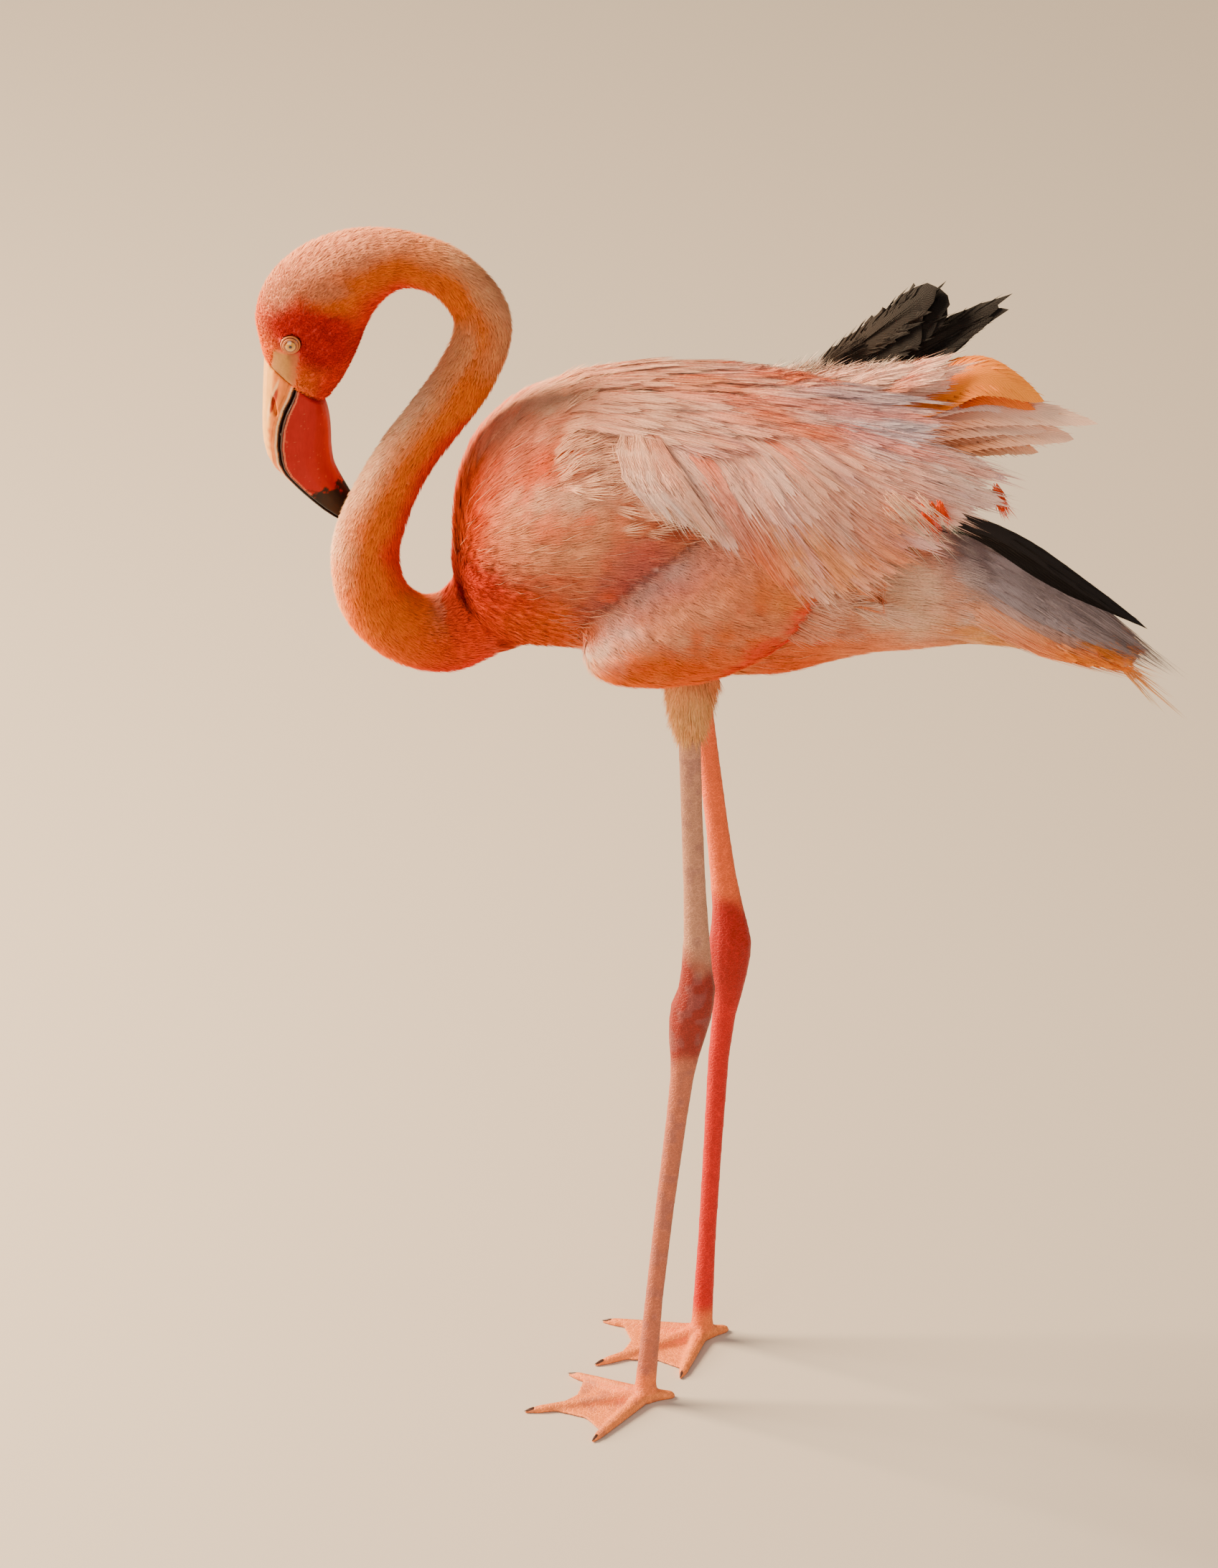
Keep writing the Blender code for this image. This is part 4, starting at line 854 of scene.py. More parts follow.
for name, (chosen, gap, slim) in contourParts.items():
    points, normals, weights = scatter(chosen, gap)
    x, z, count = points[:, 0] - shift[0], points[:, 2], len(points)
    edge = ramp(overWrist(x, z), -0.002, 0.018)
    lengths = {"body": 0.013 + 0.012 * ramp(fromBreast(x, z), 0.03, 0.14),
               "tail": 0.028 + 0.012 * ramp(x, 0.15, 0.22),
               "wing": 0.018 - 0.007 * edge + 0.012 * ramp(x, 0.045, 0.085), "thigh": 0.016}
    kind = next(kind for kind in lengths if name.startswith(kind))
    length = lengths[kind] * rng.uniform(0.85, 1.15, count)
    tipLift = rng.uniform(0.0024, 0.0038, count) - 0.0008 * (kind == "tail")
    tipLift = tipLift - 0.0012 * edge * (kind == "wing")
    lift, swing, drawn = contourLook["lift"], contourSwing[kind], rng.bit_generator.state
    paths, bends = layOnSkin(points, normals, weights, length, lift, tipLift, swing)
    if kind == "body":  # shorter and flatter where a tip would reach the wing, with the same random swing
        length = length * (1 - 0.62 * ramp(regionWeights(paths[:, 2])["wing"], 0.2, 0.6))
        flat = np.clip(length / 0.012, 0.4, 1.0)
        rng.bit_generator.state = drawn
        paths, bends = layOnSkin(points, normals, weights, length, lift * flat, tipLift * flat, swing)
    if kind == "thigh":  # down that hangs
        hang = np.stack([normals[:, 0] * 0.15, normals[:, 1] * 0.15, np.full(count, -1.0)], 1)
        hang = hang * length[:, None]
        hang[:, :2] += rng.uniform(-0.0016, 0.0016, (count, 2))
        paths[:, 1] = points + normals * 0.0022 + hang * 0.5
        paths[:, 2] = points + normals * np.array((0.0012, 0.0012, 0.0)) + hang
    bright = rng.uniform(0.91, 1.09, (count, 1))
    scaly = edge * (kind == "wing")
    rootTints = plumageTint(points, normals, weights) * bright * (0.92 + 0.02 * scaly)[:, None]
    tipTints = plumageTint(paths[:, 2], normals, weights) * bright * (1.08 - 0.02 * scaly)[:, None]
    width = length * (slim + 0.11 * scaly)
    buildFeathers(name, fanShape(8, 0.11, 5), paths, bends, rootTints, tipTints, width, cup=0.04,
                  jitter=0.05 + 0.07 * (kind == "thigh"))

# pale down that fills the hollow under the long back feathers
downLook = {"gap": 0.0054, "length": (0.020, 0.030), "tipLift": (0.0060, 0.0105)}
backTree = regionTrees["back"]
underBack = np.array([backTree.find_nearest(Vector(point))[3] for point in triMiddle[::4]]).repeat(4)
chosen = isRegion["body"] & (underBack[:len(triMiddle)] < 0.020) & (triMiddle[:, 2] > 0.64)
points, normals, weights = scatter(chosen, downLook["gap"])
count = len(points)
length, tipLift = rng.uniform(*downLook["length"], count), rng.uniform(*downLook["tipLift"], count)
paths, bends = layOnSkin(points, normals, weights, length, 0.0040, tipLift, 0.25)
buildFeathers("underDown", fanShape(7, 0.12, 27), paths, bends, flatTints(count, "#ec9c78"),
              flatTints(count, "#f8c4a4"), length * 0.22, jitter=0.08, slot="back_plumage")

# red fringe of the wing's lower edge
fringeLook = {"count": 120, "length": (0.013, 0.020), "tipLift": (0.0030, 0.0050)}
count = fringeLook["count"]
share = rng.random(count)
roots = placesAlong(share, (0.0, -0.100, 0.5415), (0.068, 0.0, 0.040)) + strewn(count, (0.003, 0.0, 0.004))
points, normals = onSkin(roots + shift)
length, tipLift = rng.uniform(*fringeLook["length"], count), rng.uniform(*fringeLook["tipLift"], count)
paths, bends = layOnSkin(points, normals, onlyRegion("wing", count), length, 0.0026, tipLift, 0.16)
bold = ramp(share + rng.uniform(-0.2, 0.2, count), 0.35, 0.75)
rootTints = blendColours(flatTints(count, "#f4601c"), "#f02000", bold)
tipTints = blendColours(flatTints(count, "#f88a3c"), "#f41c00", bold)
buildFeathers("wingFringe", fanShape(8, 0.11, 9), paths, bends, rootTints, tipTints, 0.0042, cup=0.04,
              jitter=0.07)

# long pale hairs that lie loose over the flanks
hairLook = {"gap": 0.0042, "sparser": 0.0060, "length": (0.018, 0.034), "tipLift": (0.0034, 0.0048)}
hairShape = newShape()
addBarb(hairShape, (0.0, 0.0), (0.5, 0.8), (1.0, 0.0), 0.13)
flank = np.hypot((triX + 0.093) / 0.050, (triMiddle[:, 2] - 0.598) / 0.040)
chosen = isRegion["body"] & (triBreast > 0.05) & (np.abs(triSide) > 0.03)
chosen = chosen & (triMiddle[:, 0] < shift[0] + 0.05)
points, normals, weights = scatter(chosen, hairLook["gap"] + hairLook["sparser"] * ramp(flank, 0.7, 1.2))
count = len(points)
length, tipLift = rng.uniform(*hairLook["length"], count), rng.uniform(*hairLook["tipLift"], count)
paths, bends = layOnSkin(points, normals, weights, length, 0.0036, tipLift, 0.16)
tints = plumageTint(paths[:, 2], normals, weights)
buildFeathers("looseHairs", hairShape, paths, bends, tints, blendColours(tints, "#ffe8c8", 0.6), 0.0012,
              thick=0.00025, jitter=0.3)
print("contour feathers made")


# back: long loose feathers from the shoulders, which hang over both wings in tiers
# the rows give the back's sections: place along, height of the middle, half height and half width

backRows = np.array((
    (-0.125, 0.672, 0.077, 0.070), (-0.1, 0.6735, 0.092, 0.082), (-0.05, 0.6765, 0.090, 0.097),
    (0.0, 0.679, 0.082, 0.105), (0.05, 0.6755, 0.077, 0.107), (0.1, 0.673, 0.069, 0.100),
    (0.15, 0.68, 0.055, 0.085), (0.2, 0.68, 0.038, 0.068), (0.25, 0.678, 0.025, 0.050),
))
backLook = {"tiers": 9, "lanes": {"backPlumageLeft": 32, "backPlumageRight": 24}, "width": 0.0082,
            "run": 0.56, "sunk": -0.0035}
backFinish = {"material": vaneMaterial, "slot": "back_plumage"}
backShape = {"cup": 0.04, "jitter": 0.03}
backShares = (0.0, 0.2, 0.4, 0.55, 0.7, 0.85, 1.0)  # from the ridge's lane to the lowest one
backTips = {  # where the lanes end, along the body and round it in degrees
    -1: ((-0.030, 0.028, 0.072, 0.110, 0.150, 0.185, 0.202), (70, 85, 119, 104, 85, 62, 34)),
    1: ((-0.030, 0.000, 0.020, 0.040, 0.058, 0.075, 0.098), (66, 68, 62, 54, 46, 37, 22)),
}
steps = np.linspace(0, 1, 4)


def backPoint(x, turn, side, lift):
    mid, high, wide = (np.interp(x, backRows[:, 0], backRows[:, k]) for k in (1, 2, 3))
    a = np.radians(turn)
    normal = unit(np.stack([0 * x, side * np.sin(a) * high, np.cos(a) * wide], -1))
    surface = np.stack([x, side * np.sin(a) * wide, mid + high * np.cos(a)], -1)
    return surface + normal * lift[..., None] + shift, normal


# long streaks that run with the feathers: cream, mauve and a few orange ones
def streakTints(tints, lane, part, orange):
    spots = np.stack([lane * 0.24, part * 0.03, np.full(len(lane), 0.5)], 1)
    fine, broad = softNoise(spots, 0.0052, 41), softNoise(spots, 0.017, 43)
    return blendColours(
        tints,
        "#ffd0bc", 0.55 * ramp(fine, 0.55, 0.85),
        "#d4a4a8", 0.50 * ramp(fine, 0.42, 0.12),
        "#ec5e1e", 0.80 * orange * ramp(broad + 0.2 * (fine - 0.5), 0.66, 0.80))


# the ridge between the two sides, laid over the roots of both
count = 190
x = rng.uniform(-0.122, 0.080, count)
near, away = np.interp(x, (-0.06, 0.0, 0.08), (30, 24, 14)), np.interp(x, (-0.12, 0.0, 0.08), (44, 26, 14))
lane = rng.random(count)
turn = (lane * (near + away) - away)[:, None] * (1 + 0.4 * steps[None])
lift = backLook["sunk"] + rng.uniform(0.0058, 0.0078, count)[:, None] * steps[None] ** 0.7
length = rng.uniform(0.060, 0.085, count)
paths, bends = backPoint(x[:, None] + length[:, None] * steps[None], turn, -1, lift)
weights = onlyRegion("back", count)
rootTints, tipTints = (plumageTint(paths[:, k], bends[:, k], weights) * rng.uniform(0.95, 1.05, (count, 1))
                       for k in (1, 3))
front = ramp(x, -0.045, -0.100)
rootTints = blendColours(streakTints(rootTints, lane * 0.5, x, 0.5), "#ee9c74", 0.7 * front)
tipTints = blendColours(streakTints(tipTints, lane * 0.5, x + length, 0.5), "#f6c0a4", 0.7 * front)
buildFeathers("backPlumageRidge", plumeShape(14, 3), paths, bends, rootTints * 0.96, tipTints * 1.04, 0.0080,
              replaced=("mantle",), **backShape, **backFinish)

# white feathers curled over the front edge, above the wing
count = 18
share = (np.arange(count) + 0.5) / count
x = placesAlong(share, (-0.066, -0.068, -0.058, -0.040), (0.024, 0.030, 0.036, 0.042))
x = x + strewn(count, (0.003, 0.0015, 0.001, 0.004))
turn = placesAlong(share, (29, 42, 56, 67), (0, 2, 2, 8)) + strewn(count, (3, 1, 1, 4))
lift = np.array((-0.002, 0.0068, 0.0075, 0.0030)) + rng.uniform(-0.0008, 0.0012, (count, 1))
paths, bends = backPoint(x, turn, -1, lift)
# painted shade: the rear feathers of the curl are darker, for the hollow under it
rootTints = blendColours(flatTints(count, "#ffc2a2", 0.08), "#e09a80", ramp(share, 0.45, 0.95))
tipTints = blendColours(flatTints(count, "#ffd4c0", 0.07), "#f4bca0", ramp(share, 0.5, 1.0))
buildFeathers("curledFeathers", plumeShape(16, 8), paths, bends, rootTints, tipTints, 0.0068, cup=0.18,
              jitter=0.03, **backFinish)

for side, name in ((-1, "backPlumageLeft"), (1, "backPlumageRight")):
    lanes, last = backLook["lanes"][name], backLook["tiers"] - 1
    grid = np.meshgrid(np.arange(last + 1), (np.arange(lanes) + 0.5) / lanes, indexing="ij")
    tier, share = grid[0].ravel(), grid[1].ravel()
    count = len(share)
    share = np.clip(share + rng.uniform(-0.5, 0.5, count) / lanes, 0, 1)
    start = (1 - backLook["run"]) * tier / last + rng.uniform(-0.03, 0.03, count) * (tier > 0)
    run = backLook["run"] * rng.uniform(0.90, 1.08, count)
    rootX, rootTurn = -0.070 + 0.110 * share, 33.0 - 24.0 * share
    tipX, tipTurn = (np.interp(share, backShares, row) for row in backTips[side])
    sway = rng.uniform(-3, 3, count)
    part = start[:, None] + run[:, None] * steps[None]
    x = rootX[:, None] + (tipX - rootX)[:, None] * part
    turn = rootTurn[:, None] + (tipTurn - rootTurn)[:, None] * part**1.15 + sway[:, None] * steps[None] ** 2
    tipLift = 0.0038 - 0.0034 * tier / last + rng.uniform(0, 0.0009, count)
    lift = backLook["sunk"] + (tipLift - backLook["sunk"])[:, None] * steps[None] ** 0.7
    paths, bends = backPoint(x, turn, side, lift)
    weights, lane, white = onlyRegion("back", count), share + 0.5 * (side > 0), ramp(share, 0.16, 0.05)
    rootTints = streakTints(plumageTint(paths[:, 1], bends[:, 1], weights), lane, part[:, 1], 1.0)
    tipTints = streakTints(plumageTint(paths[:, 3], bends[:, 3], weights), lane, part[:, 3], 0.6)
    bright = rng.uniform(0.94, 1.06, (count, 1))
    rootTints = blendColours(rootTints, "#ffccb2", 0.6 * white) * bright * 0.96
    tipTints = blendColours(tipTints, "#ffd8c2", 0.7 * white) * bright * 1.05
    width = backLook["width"] * rng.uniform(0.85, 1.15, count) * (1 + 0.25 * share)
    buildFeathers(name, plumeShape(16, 4), paths, bends, rootTints, tipTints, width, **backShape,
                  **backFinish)
print("back feathers made")


# flight feathers: stiff black vanes, folded in one stack along the tail on the left wing

blackFinish = {"material": blackMaterial, "slot": "flight_black", "thick": 0.0008}
leftLine = np.array((
    (0.108, -0.0765, 0.693), (0.150, -0.0700, 0.697), (0.200, -0.0500, 0.668), (0.250, -0.0370, 0.624),
    (0.293, -0.0300, 0.588),
)) + shift
stack = np.arange(7)
paths = leftLine[0] + (leftLine - leftLine[0])[None] * (1 - 0.04 * stack)[:, None, None]
paths = paths + np.array((0.0, 0.0012, -0.0003)) * stack[:, None, None] + np.array((0.0, 0.0, 0.0018))
buildFeathers("primariesLeft", vaneShape(2, 0.03, 16), paths, facing(paths, (0.30, -0.70, 0.64)),
              flatTints(7, "#2c2420"), flatTints(7, "#1c1715"), 0.0056, jitter=0.006,
              replaced=("primaries_left",), **blackFinish)

# those of the right wing are raised over the rump and worn at their ends
share = np.linspace(0, 1, 6)
starts = placesAlong(share, (0.052, 0.0985, 0.709), (0.010, -0.0065, -0.004))
rightSets = {
    "primariesBlunt": {
        "ends": ((0.1387, 0.0815, 0.7850), (0.1470, 0.0805, 0.7950), (0.1574, 0.0795, 0.7920),
                 (0.1560, 0.0785, 0.7840), (0.1480, 0.0780, 0.7760), (0.1400, 0.0775, 0.7700)),
        "sag": 0.001, "ragged": 0.22, "width": 0.0115, "taper": 0.88, "replaced": ()},
    "primariesFine": {
        "ends": ((0.1966, 0.0705, 0.7942), (0.1960, 0.0690, 0.7868), (0.1877, 0.0680, 0.7800),
                 (0.1800, 0.0675, 0.7720), (0.1706, 0.0670, 0.7640), (0.1600, 0.0670, 0.7560)),
        "sag": -0.008, "ragged": 0.08, "width": 0.0100, "taper": 0.55, "replaced": ("primaries_right",)},
}
for name, look in rightSets.items():
    ends, ragged = np.array(look["ends"]), look["ragged"]
    paths = np.stack([starts, (starts + ends) / 2 + np.array((0.002, 0.001, look["sag"])), ends], 1) + shift
    bends = facing(paths, (-0.35, -0.72, 0.60))
    buildFeathers(name, vaneShape(8, ragged, 20, look["taper"]), paths, bends, flatTints(6, "#2c231d", 0.3),
                  flatTints(6, "#181412", 0.3), look["width"], cup=0.12, jitter=0.03 + ragged * 0.1,
                  replaced=look["replaced"], **blackFinish)

# loose sets round them: where they root, the way they lead, how they bow, and their shape, tints and finish
looseSets = {
    "blackCoverts": {
        "count": 90, "start": (0.0, 0.0925, 0.683), "step": (0.095, 0.0, 0.055),
        "strewn": (0.006, 0.003, 0.008), "lead": (0.80, -0.06, 0.42), "sway": (0.2, 0.08, 0.3),
        "length": (0.018, 0.034), "bow": (0.0, -0.001, 0.001),
        "facing": (-0.35, -0.80, 0.50), "shape": fanShape(9, 0.10, 21, 0.15),
        "roots": ("#2c241f", 0.3), "tips": ("#221b18", 0.3),
        "build": {**blackFinish, "width": 0.0065, "thick": 0.0007, "jitter": 0.08}},
    "whiteDown": {  # white tassels over the black feathers
        "count": 90, "start": (0.040, 0.092, 0.724), "step": (0.085, -0.026, 0.012),
        "strewn": (0.004, 0.003, 0.003), "lead": (0.50, -0.20, 0.75), "sway": (0.5, 0.2, 0.3),
        "length": (0.010, 0.021), "bowAt": 0.55, "droop": (0.004, 0.0, -0.003),
        "facing": (-0.45, -0.70, 0.55), "shape": fanShape(7, 0.07, 31, 0.1),
        "roots": ("#ffd8c2",), "tips": ("#ffe2d0",),
        "build": {"width": 0.0030, "jitter": 0.16, "slot": "back_plumage"}},
    "redCoverts": {  # bright tufts at two places under the long back feathers
        "count": 30, "start": ((0.1400, -0.0840, 0.7120), (0.1810, -0.0500, 0.7080)),
        "strewn": (0.0100, 0.0015, 0.0070), "lead": (0.36, -0.03, -0.88), "sway": (0.25, 0.03, 0.12),
        "length": (0.014, 0.027), "facing": (0.20, -0.90, 0.25), "shape": fanShape(7, 0.13, 41, 0.55),
        "roots": ("#ee5410", 0.15), "tips": ("#e62c04",),
        "build": {"width": 0.0036, "thick": 0.0005, "jitter": 0.06}},
    "coverHairs": {  # long hairs that hang over them
        "count": 34, "start": (0.122, -0.0860, 0.713), "strewn": (0.012, 0.001, 0.014),
        "lead": (0.66, 0.02, -0.70), "sway": (0.12, 0.02, 0.12), "length": (0.028, 0.044),
        "bow": (0.002, -0.003, 0.002), "facing": (0.20, -0.90, 0.25), "shape": tuftShape(3, 0.30, 6),
        "roots": ("#f2b496",), "tips": ("#ffe8cc",),
        "build": {"width": 0.0013, "thick": 0.0003, "jitter": 0.2, "slot": "back_plumage"}},
}


def looseFeathers(name):
    look = looseSets[name]
    count = look["count"]
    roots = np.resize(look["start"], (count, 3))
    if "step" in look:
        roots = roots + np.array(look["step"]) * rng.random(count)[:, None]
    roots = roots + strewn(count, look["strewn"])
    lead = unit(np.array(look["lead"]) + strewn(count, look["sway"]))
    length = rng.uniform(*look["length"], count)[:, None]
    middles = roots + lead * length * look.get("bowAt", 0.5) + np.array(look.get("bow", (0, 0, 0)))
    ends = roots + lead * length + np.array(look.get("droop", (0, 0, 0)))
    paths = np.stack([roots, middles, ends], 1) + shift
    buildFeathers(name, look["shape"], paths, facing(paths, look["facing"]), flatTints(count, *look["roots"]),
                  flatTints(count, *look["tips"]), **look["build"])


looseFeathers("blackCoverts")

# far tertials: broad feathers that stand out over the tail; their orange and peach tints are partly their own
# colour and partly painted light shining through them
# each row has three points of the path, the width and the tints of root and tip
tertialSets = {
    "tertialsOrange": (0.03, (), (
        (0.1387, 0.060, 0.7245, 0.1779, 0.050, 0.7440, 0.2230, 0.040, 0.7283, 0.0130, "#ff8410", "#ff962c"),
        (0.1412, 0.059, 0.7200, 0.1800, 0.048, 0.7330, 0.2160, 0.040, 0.7225, 0.0085, "#e43c04", "#fa7c20"),
        (0.1300, 0.060, 0.7180, 0.1700, 0.052, 0.7290, 0.2080, 0.044, 0.7180, 0.0110, "#f0b4a4", "#f8cebc"),
    )),
    "tertialsPale": (0.16, ("tertials_right",), (
        (0.1412, 0.055, 0.7137, 0.1951, 0.045, 0.7215, 0.2588, 0.034, 0.7149, 0.0112, "#f8a07c", "#ffd2b6"),
        (0.1461, 0.050, 0.7024, 0.1951, 0.042, 0.7085, 0.2431, 0.033, 0.7035, 0.0130, "#fa9a60", "#ffccae"),
        (0.1412, 0.048, 0.6960, 0.1853, 0.041, 0.6990, 0.2180, 0.034, 0.6930, 0.0100, "#f89a58", "#ffc098"),
        (0.1300, 0.054, 0.7060, 0.1750, 0.046, 0.7130, 0.2250, 0.037, 0.7075, 0.0120, "#f8a484", "#ffd0b4"),
    )),
}
for name, (ragged, replaced, rows) in tertialSets.items():
    paths = np.array([(0.095, 0.066, 0.712, *row[:9]) for row in rows]).reshape(-1, 4, 3) + shift
    rootTints, tipTints = (np.array([linearColour(row[k]) for row in rows]) for k in (10, 11))
    width = np.array([row[9] for row in rows]) * 1.30
    bends = facing(paths, (-0.10, -0.66, 0.74))
    buildFeathers(name, vaneShape(12, ragged, 40, 0.48), paths, bends, rootTints, tipTints, width,
                  thick=0.0005, cup=0.14, jitter=0.006, replaced=replaced, **backFinish)

# pink and white plumes that close the rear of the back, up to the foot of the black feathers
count = 64
share = rng.random(count)
roots = placesAlong(share, (0.015, 0.090, 0.714), (0.090, -0.030, 0.010))
roots = roots + strewn(count, (0.004, 0.004, 0.003))
lead = placesAlong(share * rng.uniform(0.0, 1.0, count), (0.062, -0.010, 0.012), (0.0, 0.0, 0.022))
lead = lead * rng.uniform(0.85, 1.1, count)[:, None]
paths = np.stack([roots, roots + lead * 0.5 + np.array((0, -0.001, 0.003)), roots + lead], 1) + shift
rootTints = blendColours(flatTints(count, "#f0bca8", 0.08), "#f08a64", 0.7 * ramp(share, 0.80, 0.95))
buildFeathers("rearPlumes", plumeShape(12, 24), paths, facing(paths, (-0.30, -0.70, 0.64)), rootTints,
              flatTints(count, "#ffcdb6", 0.07), 0.0078, thick=0.0005, jitter=0.04, **backFinish)

for name in ("whiteDown", "redCoverts", "coverHairs"):
    looseFeathers(name)

# soft puffs of the rump, over the rear end of each wing
count = 380
away = np.where(np.arange(count) % 2, 1.0, -1.0)
roots = np.stack([rng.uniform(0.062, 0.100, count), away * 0.105, rng.uniform(0.590, 0.672, count)], 1)
points, normals = onSkin(roots + shift)
lead = unit(placesAlong(away, (0.93, 0.0, -0.24), (0.0, -0.16, 0.0)) + strewn(count, (0.12, 0.12, 0.12)))
length = rng.uniform(0.022, 0.038, count)[:, None]
outward = placesAlong(away, (0.0, 0.0, 0.25), (0.0, 1.0, 0.0)) * rng.uniform(0.8, 1.2, count)[:, None]
middles, ends = points + lead * length * 0.5 + outward * 0.0050, points + lead * length + outward * 0.0020
paths = np.stack([points - normals * 0.001, middles, ends], 1)
bends = np.repeat(unit(outward + np.array((0.15, 0.0, 0.0)))[:, None], 3, 1)
tints = plumageTint(ends, bends[:, 2], onlyRegion("body", count))
tints = blendColours(tints, "#fac0a0", rng.uniform(0.35, 0.6, count))
buildFeathers("rumpPuffs", fanShape(9, 0.09, 19, 0.5), paths, bends, tints * 0.94, tints * 1.08, 0.0058,
              cup=0.06, jitter=0.08)

# tail: long grey and peach feathers in layers; rows as for the back
tailRows = np.array(((0.172, 0.6124, 0.043, 0.050), (0.215, 0.596, 0.029, 0.040), (0.25, 0.58, 0.018, 0.030),
                     (0.272, 0.566, 0.008, 0.016)))
tailLook = {"layers": 4, "feathers": 19, "widest": 118}
turns = np.linspace(-tailLook["widest"], tailLook["widest"], tailLook["feathers"])
grid = np.meshgrid(np.arange(tailLook["layers"]), turns, indexing="ij")
row, turns = grid[0].ravel(), grid[1].ravel()
spread, count = turns / tailLook["widest"], len(turns)


def tailPoint(x, turn, lift):
    mid, high, wide = (np.interp(x, tailRows[:, 0], tailRows[:, k]) for k in (1, 2, 3))
    sine, cosine = np.sin(np.radians(turn)), np.cos(np.radians(turn))
    surface = np.stack([x + 0 * sine, -wide * sine, mid + high * cosine], 1)
    return surface + np.stack([0 * sine, -sine, cosine], 1) * (lift + 0 * sine)[:, None]


ends = np.stack([0.297 - 0.014 * np.abs(spread) - 0.012 * row, -0.020 * spread * (1 + 0.3 * row),
                 0.555 - 0.004 * spread**2 + 0.0055 * row], 1)
ends = ends + strewn(count, (0.003, 0.001, 0.001))
starts = tailPoint(0.190 - 0.008 * row, turns * 0.8, -0.003)
middles = tailPoint(0.240 - 0.008 * row, turns, 0.0005 + 0.0006 * row)
paths = np.stack([starts, middles, ends], 1) + shift
a = np.radians(turns)
outward = np.stack([0.35 + 0 * spread, -0.75 * np.sin(a), np.cos(a) + 0.25], 1)
bends = np.repeat(unit(outward)[:, None], 3, 1)
under = ramp(np.abs(turns), 70, 95)
rootTints = blendColours(flatTints(count, "#b8a2a2", 0.15), "#f6ac84", under)
tipTints = blendColours(flatTints(count, "#94807c", 0.22), "#fa8a24", under)
buildFeathers("tailFeathers", plumeShape(12, 15, 0.8), paths, bends, rootTints, tipTints, 0.0072,
              thick=0.0005, jitter=0.03, material=vaneMaterial)

# loose strands under the tail's tip
wispRoot = np.array((0.2660, 0.0, 0.5540))
wispEnds = ((0.2957, -0.002, 0.5164), (0.3209, 0.003, 0.5013), (0.3010, 0.001, 0.5310),
            (0.2900, -0.003, 0.5270), (0.3120, 0.002, 0.5180), (0.3030, -0.001, 0.5120),
            (0.2980, 0.001, 0.5240), (0.3160, 0.000, 0.5080), (0.2990, -0.002, 0.5130))
bow = np.array((0.006, 0, 0.006))
paths = np.array([(wispRoot, (wispRoot + np.array(end)) / 2 + bow, end) for end in wispEnds]) + shift
bends = facing(paths, (0.3, -0.9, 0.3))
buildFeathers("tailWisps", tuftShape(4, 0.30, 6), paths, bends, flatTints(9, "#f89444"),
              flatTints(9, "#ffc080"), 0.0014, jitter=0.10, replaced=("tail_wisps",))
print("feathers made")


# bill: horn, pale above and red below, with a black tip and a dark line along the mouth
# rows from base to tip: place along and height of the ridge, the mouth line and the keel

billRows = np.array((
    (-0.3097, 0.7777, -0.2876, 0.7598, -0.2681, 0.7439), (-0.3104, 0.7600, -0.2898, 0.7512, -0.2662, 0.7382),
    (-0.3108, 0.7420, -0.2943, 0.7404, -0.2648, 0.7303), (-0.3110, 0.7270, -0.2976, 0.7280, -0.2640, 0.7210),
    (-0.3103, 0.7125, -0.2988, 0.7130, -0.2638, 0.7094), (-0.3060, 0.6966, -0.2970, 0.6980, -0.2628, 0.6990),
    (-0.2970, 0.6860, -0.2931, 0.6894, -0.2612, 0.6920), (-0.2874, 0.6755, -0.2844, 0.6784, -0.2576, 0.6838),
    (-0.2770, 0.6650, -0.2747, 0.6676, -0.2532, 0.6750), (-0.2670, 0.6557, -0.2652, 0.6580, -0.2492, 0.6664),
    (-0.2572, 0.6487, -0.2560, 0.6502, -0.2480, 0.6560),
))
finePlaces = np.linspace(0, 10, 201)
fineRows = np.array([[np.interp(u, range(11), billRows[:, k]) for k in range(6)] for u in finePlaces])
billLook = {"voxel": 0.0008, "smoothing": 5, "slit": (0.3030, 0.7480)}


# share of the way from base to tip, and distance from the mouth line towards the ridge or keel
def billPlace(points, edgeColumn):
    local = (points - shift)[:, [0, 2]]
    mouth = fineRows[:, 2:4]
    span = fineRows[:, edgeColumn:edgeColumn + 2] - mouth
    toMouth = local[:, None] - mouth[None]
    out = (toMouth * span[None]).sum(2) / (span**2).sum(1)[None]
    away = np.linalg.norm(toMouth - out[..., None] * span[None], axis=2)
    best = (away + 0.004 * np.abs(np.clip(out, 0, 1) - out)).argmin(1)
    width = np.linalg.norm(span, axis=1)[best]
    return best / 200, out[np.arange(len(points)), best] * width, width


